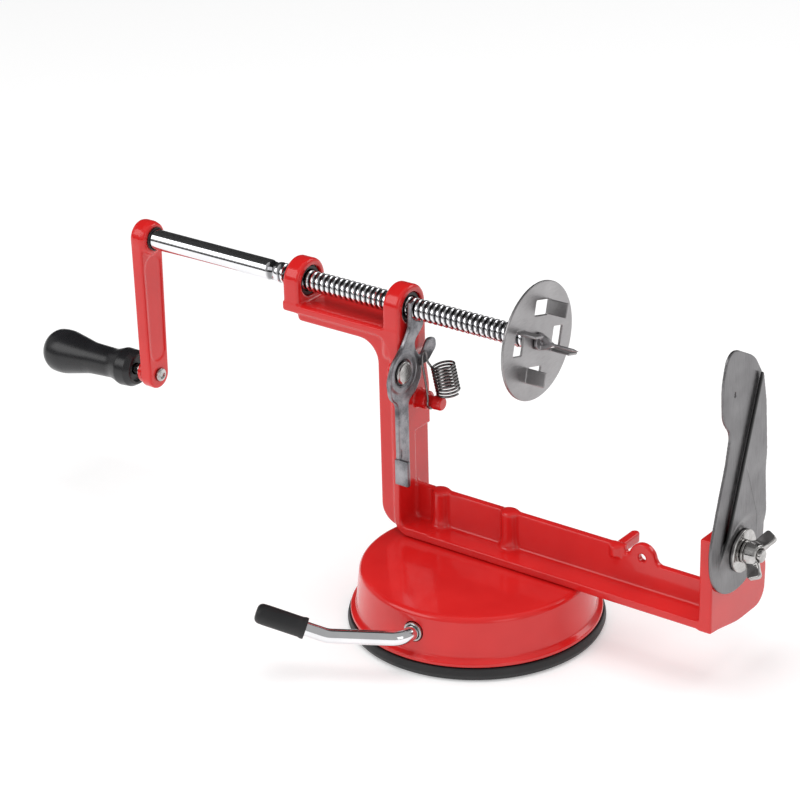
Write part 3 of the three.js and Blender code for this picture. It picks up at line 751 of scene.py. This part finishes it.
# A round rod along a path of three straight runs with two bends, and a turned grip on its end.
def suctionLever():
    away, across = -leverAxis, np.cross(leverAxis, (0, 0, 1))
    frameOf = np.array([across, -away, (0, 0, 1)])
    start = np.array([0, 0, axleZ]) - lever["inside"] * away
    first = np.array([0, 0, axleZ]) + lever["reach"] * away
    second = first + np.array(lever["run"]) @ frameOf
    third = second + np.array(lever["rise"]) @ frameOf
    path = roundedPath([start, first, second, third], [0, *lever["bends"], 0], step=5)
    rod = sweptPiece("lever_rod", path, lever["radius"], (0, 0, 1), 32)
    fit(rod, "suction_lever", "chrome", ["suction_rod"])
    out = (third - second) / np.linalg.norm(third - second)
    grip = turnedPiece("lever_cap", cornered([
        (0, 3.5), (0, 5.0, 0.4), (1.4, 5.0, 0.5), (2.6, 4.7, 0.8), (19, 4.75, 1.5),
        (23.4, 4.5, 2.6), (23.6, 0)]), third - lever["gripLength"] * out + out * lever["gripOver"], out, 48)
    fit(grip, "suction_lever", "black_rubber", ["lever_grip"])


suctionLever()
print("base done")


# Drive shaft.
shaft = {
    "radius": 5.0,
    "start": -204.6,
    "threadStart": -117.7,
    "threadEnd": 22.3,
    "pitch": 3.0,
    "depth": 0.8,
    "spigot": 3.0,  # radius of the end that carries the disc
    "end": 27,
    "runOut": 4.6,  # the run-out groove's middle lies this far before the thread
    "sides": 56,
}


# Radius over (x, turn): the thread's trough follows the phase x / pitch - turn, a smooth step of its
# cosine, and the run-out before it is one shallow ring.
def driveShaft():
    start, threadStart, threadEnd = shaft["start"], shaft["threadStart"], shaft["threadEnd"]
    pitch, sides, chamfer = shaft["pitch"], shaft["sides"], 0.6
    plain = np.array([start, start, start + chamfer, -160, threadStart - 10])
    fine = np.arange(threadStart - 9.5, threadEnd, pitch / 12)
    x = np.concatenate([plain, fine, [threadEnd] * 2, [shaft["end"]] * 2])[:, None]
    turn = (np.arange(sides) * 2 * math.pi / sides)[None]
    wave = np.cos(2 * math.pi * x / pitch - turn)
    trough = np.clip(0.5 - 0.8 * wave, 0, 1)
    trough = trough * trough * (3 - 2 * trough)
    fade = np.clip((x - threadStart) / 2.0 + 0.5, 0, 1) * (x <= threadEnd)
    runOut = np.exp(-((x - threadStart + shaft["runOut"]) / 2.2) ** 4)
    radius = shaft["radius"] - shaft["depth"] * np.maximum(trough * fade, 0.75 * runOut)
    radius[0] = radius[-1] = 0
    radius[1] -= chamfer
    radius[-3:-1] = shaft["spigot"]
    points = np.stack([x + 0 * turn, shaftY + radius * np.cos(turn), shaftZ + radius * np.sin(turn)], axis=2)
    return closeMesh(addMesh("threaded_shaft", points.reshape(-1, 3), gridFaces(len(x), sides)))


fit(driveShaft(), "crank_shaft", "chrome", ["drive_shaft"], threadChrome)
stopX = span("thrust_washer")
ring = turnedPiece("stop_ring", cornered([
    (stopX[0][0], 5.2, 0.2), (stopX[0][0], 5.8, 0.2), (stopX[1][0], 5.8, 0.2), (stopX[1][0], 5.2, 0.2)],
    closed=True), (0, shaftY, shaftZ), (1, 0, 0), 64)
fit(ring, "feed_stop", "nylon", ["thrust_washer"])


# Crank and handle.
crankArm = {
    "x": (-206, -199.4),
    "bossFront": -197,
    "throw": 73,
    "radii": (8, 7),  # half its width at the shaft and at the handle
    "panel": 0.5,  # depth of the hollow in its face
    "droop": math.radians(2.5),  # how far the handle's pin leans down
    "foot": 5.6,  # radius of the boss round the pin
}
crankX, bossFront = crankArm["x"], crankArm["bossFront"]
pinEye = np.array([crankX[0], shaftY, shaftZ - crankArm["throw"]])
pinAxis = np.array([math.cos(crankArm["droop"]), 0, math.sin(crankArm["droop"])])


# A tapered bar with a boss round the shaft and a tilted one round the pin, a shallow panel in its face,
# and bores for the shaft, the pin and the grub screw.
def crankField(x, y, z):
    arm = taperedBar(y, z, (shaftY, shaftZ), (pinEye[1], pinEye[2]), *crankArm["radii"])
    whole = meet(1.1, arm, slab(x, *crankX))
    boss = meet(1.6, disk(y, z, shaftY, shaftZ, 7.9), slab(x, crankX[0] + 1, bossFront))
    along = (x - pinEye[0]) * pinAxis[0] + (z - pinEye[2]) * pinAxis[2]
    off = np.hypot(y - pinEye[1], (z - pinEye[2]) * pinAxis[0] - (x - pinEye[0]) * pinAxis[2])
    foot = meet(0.8, off - crankArm["foot"], slab(along, -3.5, 2))
    whole = blend(1.6, whole, boss, foot)
    panel = taperedBar(y, z, (shaftY, shaftZ - 15), (handleY, pinEye[2] + 13), 6, 5.4)
    panel = meet(1.2, panel, crankX[1] - crankArm["panel"] - x)
    return carve(
        0.6,
        whole,
        panel,
        np.maximum(disk(y, z, shaftY, shaftZ, 5.3), slab(x, crankX[0] + 1, -190)),
        np.maximum(off - 2.9, slab(x, -215, -190)),
        np.maximum(disk(x, z, -200.8, shaftZ, 2.0), slab(y, shaftY + 4, shaftY + 12)),
    )


crank = fieldPiece(
    "crank_casting",
    crankField,
    (crankX[0] - 3.8, shaftY - 8, pinEye[2] - 7),
    (bossFront, shaftY + 8, shaftZ + 8),
    0.5,
)
fit(crank, "crank_shaft", "red_paint", ["crank_arm"])
pin = turnedPiece("handle_rivet", cornered([
    (-60, 0), (-60, 2.4, 0.3), (6.9, 2.4, 0.2), (6.9, 3.3, 0.2), (8.0, 3.3, 0.5), (8.3, 2.2, 0.5),
    (7.7, 1.1, 0.4), (7.6, 0)]), pinEye, pinAxis, 56)
fit(pin, "crank_shaft", "nickel", ["handle_pin"])
ring = turnedPiece("handle_ring", cornered([
    (-5.3, 2.7, 0.2), (-5.3, 4.3, 0.3), (-3.8, 4.3, 0.3), (-3.8, 2.7, 0.2)],
    closed=True), pinEye, pinAxis, 56)
fit(ring, "crank_shaft", "nickel", ["handle_washer"])
grip = turnedPiece("crank_grip", cornered([
    (-66.6, 0), (-66.6, 9.4, 9), (-56, 11.6, 22), (-38, 8.0, 26), (-22, 7.4, 12), (-15.6, 9.6, 3.0),
    (-10.0, 9.3, 2.2), (-7, 7.6, 0.7), (-7, 6.3, 0.4), (-9, 6.0, 0.5), (-9, 2.9, 0.3),
    (-61, 2.9, 0.3), (-61, 0)], step=3), pinEye, pinAxis, 96)
fit(grip, "handle", "black_grip", ["handle_grip"])
print("crank done")


# Pronged disc and spear.
disc = {
    "x": 25,
    "thickness": 1.2,
    "radius": 27.5,
    "turn": math.radians(-15),
    "window": (11.5, 7.0, 15.3),  # across, high, and its middle's distance from the centre
    "tab": 11.0,  # how far the tabs stand out
    "tabHalf": 3.4,
    "hole": 3.3,
}


# The four windows and tabs are one, repeated round the centre: each point is turned back by whole
# quarters until it lies in the first.
def discField(x, y, z):
    v, w = y - shaftY, z - shaftZ
    turn = np.arctan2(w, v) - disc["turn"]
    reach = np.hypot(v, w)
    quarter = math.pi / 2
    local = turn - quarter * np.round((turn - quarter) / quarter)
    across, up = reach * np.cos(local), reach * np.sin(local)
    wide, high, middle = disc["window"]
    thick = disc["thickness"]
    sheet = meet(0.3, reach - disc["radius"], slab(x, disc["x"], disc["x"] + thick))
    window = meet(0.5, slab(across, -wide / 2, wide / 2), slab(up, middle - high / 2, middle + high / 2))
    hole = np.minimum(window, reach - disc["hole"])
    tab = meet(
        0.3,
        slab(across, wide / 2 - thick, wide / 2),
        slab(up, middle - disc["tabHalf"], middle + disc["tabHalf"]),
        slab(x, disc["x"], disc["x"] + disc["tab"]),
    )
    return blend(0.5, meet(0.3, sheet, -hole), tab)


plate = fieldPiece(
    "pronged_disc",
    discField,
    (disc["x"], shaftY - 28, shaftZ - 28),
    (disc["x"] + disc["tab"], shaftY + 28, shaftZ + 28),
    0.36,
)
fit(plate, "crank_shaft", "stainless", ["gripping_disc"], discSteel)


spear = {
    "hub": 4.0,  # radius
    "hubLength": 1.5,
    "prongs": 8.2,
    "needle": 21.5,
    "needleRadius": 0.65,
}


# A round hub with two flat prongs above and below the axis, their outer edges curving in, and a needle
# that tapers to a point.
def spearField(x, y, z):
    along = x - disc["x"] - 1.5
    v, w = y - shaftY, z - shaftZ
    reach = np.hypot(v, w)
    boss = meet(0.4, reach - spear["hub"], slab(along, 0, spear["hubLength"]))
    outer = spear["hub"] - 0.1 * along - 0.045 * along ** 2
    inner = 1.8 - 0.3 * along
    prongs = meet(
        0.25,
        np.maximum(np.abs(w) - outer, inner - np.abs(w)),
        slab(v, -1.1 + 0.05 * along, 1.1 - 0.05 * along),
        slab(along, 0.6, spear["prongs"]),
    )
    needleRadius = np.clip((spear["needle"] - along) * 0.2, 0.12, spear["needleRadius"])
    needle = np.maximum(reach - needleRadius, slab(along, 1, spear["needle"]))
    whole = blend(0.5, boss, prongs, needle)
    return carve(0.2, whole, np.maximum(reach - 3.3, along - 0.9))


spearPiece = fieldPiece(
    "spear",
    spearField,
    (26, shaftY - 6, shaftZ - 6),
    (48.5, shaftY + 6, shaftZ + 6),
    0.22,
)
fit(spearPiece, "crank_shaft", "stainless", ["centre_spear"])
print("disc done")


# Clasp.
clasp = {
    "thickness": 2.3,
    "bend": 1,  # how far its top stands forward
    "jaw": 5.3,  # radius cut for the shaft
    "swings": (0, 3, 6),  # degrees of swing at which the shaft has to clear it
    "ring": (8.2, 1.6),  # radius and half width of the swell round the pin
    "thumb": 7.6,  # how far the thumb pad stands forward
}
claspBack = span("adjusting_clasp")[0][0]
claspFront = claspBack + clasp["thickness"]


# Where the shaft's centre lies as the clasp sees it, after it has swung this many degrees.
def shaftSeen(degrees):
    a = -math.radians(degrees)
    v, w = shaftY - claspY, shaftZ - claspZ
    return claspY + v * math.cos(a) - w * math.sin(a), claspZ + v * math.sin(a) + w * math.cos(a)


# A flat lever whose top bends forward by a smooth step and whose jaw fits round the shaft, with a horn
# for the spring, a swell round the pin and a thumb pad that faces forwards.
def claspField(x, y, z):
    forward = np.clip((z - 125) / 10, 0, 1)
    bent = x - clasp["bend"] * forward * forward * (3 - 2 * forward)
    plan = outline(y, z, [
        (9.0, 146.6, 0.6), (6.7, 146.2, 0.5), (5.9, 134.5, 9), (2.4, 126.8, 9), (-5.6, 120.6, 9),
        (-9.6, 112.6, 9), (-8.4, 102.6, 9), (-3.6, 99.6, 5), (-3.5, 60.4, 0.5), (4.4, 60.4, 0.5),
        (4.6, 98.6, 4), (10.2, 100.8, 7), (15.4, 108, 8), (14.6, 117.4, 7), (10.0, 122.4, 7),
        (10.8, 127.0, 5), (16.4, 132.6, 5), (16.0, 136.4, 0.7), (13, 139), (9.4, 146.6, 0.4)], step=8)
    sheet = meet(0.5, plan, slab(bent, claspBack, claspFront))
    sheet = carve(0.35, sheet, *[disk(y, z, *shaftSeen(a), clasp["jaw"]) for a in clasp["swings"]])
    lean = x - 0.3 * np.clip(y - 13, 0, 12)
    horn = outline(y, z, [
        (12.5, 112.6, 1), (18.2, 113.2, 4), (23.2, 119.6, 4), (22.8, 124.6, 2.2), (18.6, 125.2, 2.2),
        (15.2, 118.4, 3), (12.5, 117, 1)])
    horn = meet(0.6, horn, slab(lean, claspBack + 0.5, claspFront - 0.2))
    whole = blend(0.8, sheet, horn)
    thumbX = slab(x, claspBack, claspBack + clasp["thumb"])
    whole = blend(0.3, whole, meet(0.5, thumbX, slab(y, -4.6, -2.5), slab(z, 58.9, 71.7)))
    away = np.hypot(y - claspY, z - claspZ)
    radius, half = clasp["ring"]
    proud = 0.5 * np.clip((claspZ + 2 - z) / 8, 0, 1)
    swell = meet(0.8, np.abs(away - radius) - half, slab(x, claspFront - 1, claspFront + proud))
    whole = blend(1.2, whole, swell)
    return carve(
        0.3,
        whole,
        np.maximum(away - pinHole, slab(x, -60, -30)),
        np.maximum(away - 6.1, claspFront - 0.6 - x),
        np.maximum(slab(y, -2.4, -1.9), slab(z, 71.9, 75.6)),
    )


claspPiece = fieldPiece("clasp_lever", claspField, (-43.5, -11, 57), (-33.8, 24, 149.5), 0.42)
fit(claspPiece, "clasp", "cast_steel", ["adjusting_clasp"])
screw = turnedPiece("clasp_pin", cornered([
    (-45.2, 0), (-45.2, 2.6, 0.3), (-39.9, 2.6, 0.2), (-39.9, 5.4, 0.2), (-38.9, 5.4, 0.5),
    (-38.4, 4.4, 0.6), (-38.6, 0)]),
    (0, claspY, claspZ), (1, 0, 0), 64)
fit(screw, "frame", "nickel", ["clasp_screw"])

spring = {
    "wire": 0.55,
    "radius": 5.35,
    "turns": 9.5,
    "high": (-31.8, 20.3, 113.2),
    "low": (-29.4, 21.4, 98.6),
    "hook": (-37, 3.5),  # x and radius of the hook round the peg's neck
    "rows": 460,
}


# From a hook round the peg's neck the wire climbs to the horn, turns back, and winds down a coil whose
# rings are square to the line from high to low.
def springPiece():
    t = np.linspace(0, 1, spring["rows"])[:, None]
    angle = math.pi + 2 * math.pi * spring["turns"] * t
    low, high = np.array(spring["low"]), np.array(spring["high"])
    down, side, ahead = crossAxes(low - high, (0, 1, 0))
    coil = high + (low - high) * t + spring["radius"] * (np.cos(angle) * -side + np.sin(angle) * ahead)
    hookTurn = np.linspace(-0.4, -3.7, 26)[:, None]
    hookX, hookRadius = spring["hook"]
    hookY, hookZ = pegY + hookRadius * np.cos(hookTurn), pegZ + hookRadius * np.sin(hookTurn)
    hook = np.concatenate([np.full_like(hookTurn, hookX), hookY, hookZ], axis=1)
    climb = np.array([
        [-37.4, 15.2, 100.5], [-37.8, 14.2, 108], [-38.1, 13.2, 114], [-38.1, 13.4, 119],
        [-37.8, 14.8, 120.4], [-37.4, 15.6, 117.6], [-37.2, 15.9, 114.6]])
    route = np.concatenate([hook, climb, coil[6:]])
    return sweptPiece("clasp_coil", smoothRoute(route), spring["wire"], (0.3, 0.2, 1), 12)


# Averages neighbouring points a few times, so that joints between stretches have no kinks.
def smoothRoute(route, passes=3):
    steps = np.linalg.norm(np.diff(route, axis=0), axis=1)
    length = np.concatenate([[0], np.cumsum(steps)])
    even = np.linspace(0, length[-1], int(length[-1] / 0.45))
    route = np.stack([np.interp(even, length, route[:, k]) for k in range(3)], axis=1)
    for _ in range(passes):
        route[1:-1] = 0.25 * route[:-2] + 0.5 * route[1:-1] + 0.25 * route[2:]
    return route


coil = springPiece()
fit(coil, None, "stainless", ["clasp_spring"], springSteel)
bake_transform(coil)
print("clasp done")


# Blade and its clamp.
bladeX = span("slicing_blade")[0][0]
blade = {
    "thickness": 1.4,
    "step": 2.0,  # how far the far half stands proud along the cutting slit
    "slit": ((5, 62), (34.9, 142.5)),  # its ends in (y, z)
    "crease": ((24.5, 99.4), (36.3, 67.7)),
    "dip": 0.9,  # how deep the far half falls beyond the crease
    "overlap": 2.2,  # how far the near half reaches behind the far half
    "washerClear": 10.4,  # flat this far round the bolt
    "bend": 60,  # height at which the far half starts to rise
    "hole": (15, 139.7, 0.8),  # y, z and radius of the slot near the top
    "cell": 0.42,
}


# A ramp from 0 to 1 that is level at both ends.
def smoothStep(v):
    v = np.clip(v, 0, 1)
    return v * v * (3 - 2 * v)


# The far half, right of the slit, stands out by a smooth step that starts beside the washer, and dips
# beyond the crease. Above the slit's lower end the near half reaches behind it, and stretches a little
# to meet its tip.
def bladeField(x, y, z):
    corners = [
        (9.4, 161.6, 6), (4.8, 147, 30), (6.0, 130, 12), (12.6, 121.6, 7), (9.6, 108, 22), (3.4, 90, 30),
        (-2.2, 72, 20), (-1.6, 43.2, 22), (43.8, 43.2, 22), (43.2, 76, 40), (38.8, 129, 14),
        (35.9, 142.4, 1.0), (29.2, 152.2, 18), (17.5, 159.4, 5)]
    plan = outline(y, z, corners, step=6)
    stretch = 1.6 * np.clip((y - 18) / 14, 0, 1) * np.clip((z - 100) / 20, 0, 1)
    nearPlan = outline(y - stretch, z, corners, step=6)
    (y0, z0), (y1, z1) = blade["slit"]
    beyond = ((y - y0) * (z1 - z0) - (z - z0) * (y1 - y0)) / math.hypot(y1 - y0, z1 - z0)
    (cy0, cz0), (cy1, cz1) = blade["crease"]
    past = ((y - cy0) * (cz0 - cz1) + (z - cz0) * (cy1 - cy0)) / math.hypot(cy1 - cy0, cz1 - cz0)
    outside = np.hypot(y - boltY, z - boltZ) - blade["washerClear"]
    rise = blade["step"] * smoothStep((z - blade["bend"]) / 14) * smoothStep(outside / 8)
    dip = blade["dip"] * smoothStep(past / 0.7) * smoothStep(outside / 5) * smoothStep((106 - z) / 14)
    back, front = bladeX, bladeX + blade["thickness"]
    near = meet(0.25, nearPlan, slab(x, back, front), np.minimum(beyond - blade["overlap"], z - 63))
    near = np.where(z < blade["bend"] + 2, meet(0.25, plan, slab(x, back, front)), near)
    lifted = x - np.maximum(rise - dip, 0)
    far = meet(0.25, plan, slab(lifted, back, front), -beyond, blade["bend"] - 2 - z)
    holeY, holeZ, holeRadius = blade["hole"]
    return carve(
        0.2,
        np.minimum(near, far),
        np.maximum(disk(y, z, boltY, boltZ, 3.3), slab(x, 100, 140)),
        np.maximum(disk(y, (z - holeZ) / 1.6, holeY, 0, holeRadius), slab(x, 100, 140)),
    )


cutter = fieldPiece("blade_plate", bladeField, (bladeX, -3, 43), (bladeX + 4, 45, 160), blade["cell"])
fit(cutter, "blade", "stainless", ["slicing_blade"], bladeSteel)

washerX = span("blade_washer")
washer = turnedPiece("clamp_washer", cornered([
    (washerX[0][0], 3.2, 0.2), (washerX[0][0], 10, 0.3), (washerX[1][0], 10, 0.5), (washerX[1][0], 3.2, 0.3)],
    closed=True), (0, boltY, boltZ), (1, 0, 0), 72)
fit(washer, "clamp_washers", "nickel", ["blade_washer"])
splitX = span("spring_washer")
split = turnedPiece("split_washer", cornered([
    (splitX[0][0], 3.2, 0.2), (splitX[0][0], 5.3, 0.3), (splitX[1][0], 5.3, 0.3), (splitX[1][0], 3.2, 0.2)],
    closed=True), (0, boltY, boltZ), (1, 0, 0), 72)
fit(split, "clamp_washers", "nickel", ["spring_washer"])


wingNut = {
    "turn": math.radians(45),  # how the wings lean from upright
    "radius": 5.6,
    "length": 5.6,
    "bore": 3.2,
    "thin": 1.25,  # half the thickness of a wing
    "cell": 0.32,
}
wingLow, wingHigh = span("wing_nut")


# A tapered hub and two wings, one outline mirrored about the axis, thicker towards the hub.
def wingField(x, y, z):
    a = wingNut["turn"]
    v, w = y - boltY, z - boltZ
    across, up = v * math.cos(a) - w * math.sin(a), v * math.sin(a) + w * math.cos(a)
    along, reach = x - wingLow[0], np.hypot(across, up)
    boss = meet(0.7, reach - wingNut["radius"] + 0.18 * along, slab(along, 0, wingNut["length"]))
    far = np.abs(up)
    wing = outline(along, far, [(0.6, 2.4), (1.0, 5.4, 2), (5.0, 12.3, 1.6), (10.9, 9.4, 1.8), (6.0, 2.4)])
    wing = meet(0.6, wing, np.abs(across) - wingNut["thin"] - 0.25 * np.clip(6 - far, 0, 3))
    return carve(0.4, blend(0.9, boss, wing), reach - wingNut["bore"])


wing = fieldPiece("wing_nut_casting", wingField, wingLow - 1, wingHigh + 1, wingNut["cell"])
fit(wing, "wing_nut", "nickel", ["wing_nut"])
boltLow, boltHigh = span("blade_bolt")
headFront, headRadius, studRadius = bracket[0] - 0.3, 5.6, 2.95
bolt = turnedPiece("clamp_stud", cornered([
    (boltLow[0], 0), (boltLow[0], headRadius, 0.5), (headFront, headRadius, 0.3),
    (headFront, studRadius, 0.2), (boltHigh[0], studRadius, 0.6), (boltHigh[0], 0),
]), (0, boltY, boltZ), (1, 0, 0), 64)
fit(bolt, "frame", "nickel", ["blade_bolt"])
print("blade done")

# The nodes inside are kept as they are, in the same finishes.
record = frame["record"]
slots = {row["node"]: row["material_slot"] for row in record["subparts"]}
for name, node in frame["nodes"].items():
    if not node.hide_render:
        node.data.materials.clear()
        node.data.materials.append(finishes[slots[name]])


# A matt finish with hardly any grain, which may glow.
def plainFinish(name, colour, glow=0.0):
    f = Finish(name)
    deeper = tuple(0.99 * c for c in colour)
    f.shade(colour=f.blendColours(f.ramp(f.grain(0.6, 2), 0, 1), colour, deeper), roughness=0.6)
    f.shader.inputs["Emission Color"].default_value = (1, 1, 1, 1)
    f.shader.inputs["Emission Strength"].default_value = glow
    return f.material


studio = {
    "middle": (-0.05, 0.01, 0.08),
    "floor": 12,  # metres across
    "floorShade": 0.8,
    "floorGlow": 0.31,
    "sky": 0.42,
}


# A rectangle round the origin, facing up.
def sheet(name, width, depth, finish):
    mesh = bpy.data.meshes.new(name)
    w, d = width / 2, depth / 2
    mesh.from_pydata([(-w, -d, 0), (w, -d, 0), (w, d, 0), (-w, d, 0)], [], [(0, 1, 2, 3)])
    mesh.materials.append(finish)
    plane = bpy.data.objects.new(name, mesh)
    bpy.context.scene.collection.objects.link(plane)
    return plane


floorFinish = plainFinish("pale floor", (studio["floorShade"],) * 3, studio["floorGlow"])
sheet("floor", studio["floor"], studio["floor"], floorFinish).location.z = -0.2 * mm


# A turn that faces a point from a place.
def facing(place, target):
    return (Vector(target) - Vector(place)).to_track_quat("-Z", "Y").to_euler()


# An area light of a size in metres, at a place, facing a point.
def softbox(name, place, target, size, watts):
    lamp = bpy.data.lights.new(name, "AREA")
    lamp.shape = "RECTANGLE"
    lamp.size, lamp.size_y = size
    lamp.energy = watts
    holder = bpy.data.objects.new(name, lamp)
    holder.location = place
    holder.rotation_euler = facing(place, target)
    bpy.context.scene.collection.objects.link(holder)
    return holder


# A dark card that only reflections see.
def darkCard(name, place, target, size):
    card = sheet(name, *size, plainFinish(name, (0.01, 0.01, 0.01)))
    card.location = place
    card.rotation_euler = facing(place, target)
    card.visible_camera = False
    card.visible_diffuse = False
    card.visible_shadow = False


middle = studio["middle"]
softbox("key", (-0.95, -1.35, 1.15), middle, (1.5, 1.1), 10)
softbox("fill", (1.7, -0.9, 0.9), middle, (0.8, 1.2), 3)
softbox("rim", (0.9, 1.6, 1.3), middle, (1.2, 0.7), 6)
overhead = softbox("overhead", (0, 0, 2.0), (0, 0.001, 0), (1.6, 1.6), 21)
overhead.visible_glossy = False  # it evens out the light and leaves no highlight
darkCard("back wall", (-0.95, 1.15, 0.75), (-0.05, 0.01, 0.2), (2.6, 1.9))
darkCard("roof card", (-0.7, 0.35, 1.35), (-0.05, 0.01, 0.1), (2.4, 1.0))
darkCard("horizon card", (-1.1, -1.7, 0.14), (-0.05, 0.01, 0.14), (3.4, 0.5))

world = bpy.data.worlds.new("studio")
world.use_nodes = True
bpy.context.scene.world = world
sky = world.node_tree.nodes["Background"]
sky.inputs["Color"].default_value = (1, 1, 1, 1)
sky.inputs["Strength"].default_value = studio["sky"]

bpy.context.scene.view_settings.view_transform = "Standard"

view = {
    "place": (0.68777, -0.96931, 0.66371),
    "azimuth": math.radians(36.958),
    "elevation": math.radians(24.917),
    "roll": math.radians(-1.457),
    "lens": 131.44,
    "sensor": 36,
}


# The camera looks back along its azimuth and elevation, rolled about its own axis.
def addCamera():
    a, e, roll = view["azimuth"], view["elevation"], view["roll"]
    right = Vector((math.cos(a), math.sin(a), 0))
    back = Vector((math.sin(a) * math.cos(e), -math.cos(a) * math.cos(e), math.sin(e)))
    up = back.cross(right)
    right, up = right * math.cos(roll) + up * math.sin(roll), up * math.cos(roll) - right * math.sin(roll)
    lens = bpy.data.cameras.new("camera")
    lens.lens = view["lens"]
    lens.sensor_width = view["sensor"]
    camera = bpy.data.objects.new("camera", lens)
    turn = Matrix((right, up, back)).transposed().to_4x4()
    camera.matrix_world = Matrix.Translation(view["place"]) @ turn
    bpy.context.scene.collection.objects.link(camera)
    bpy.context.scene.camera = camera


addCamera()
bpy.context.view_layer.update()
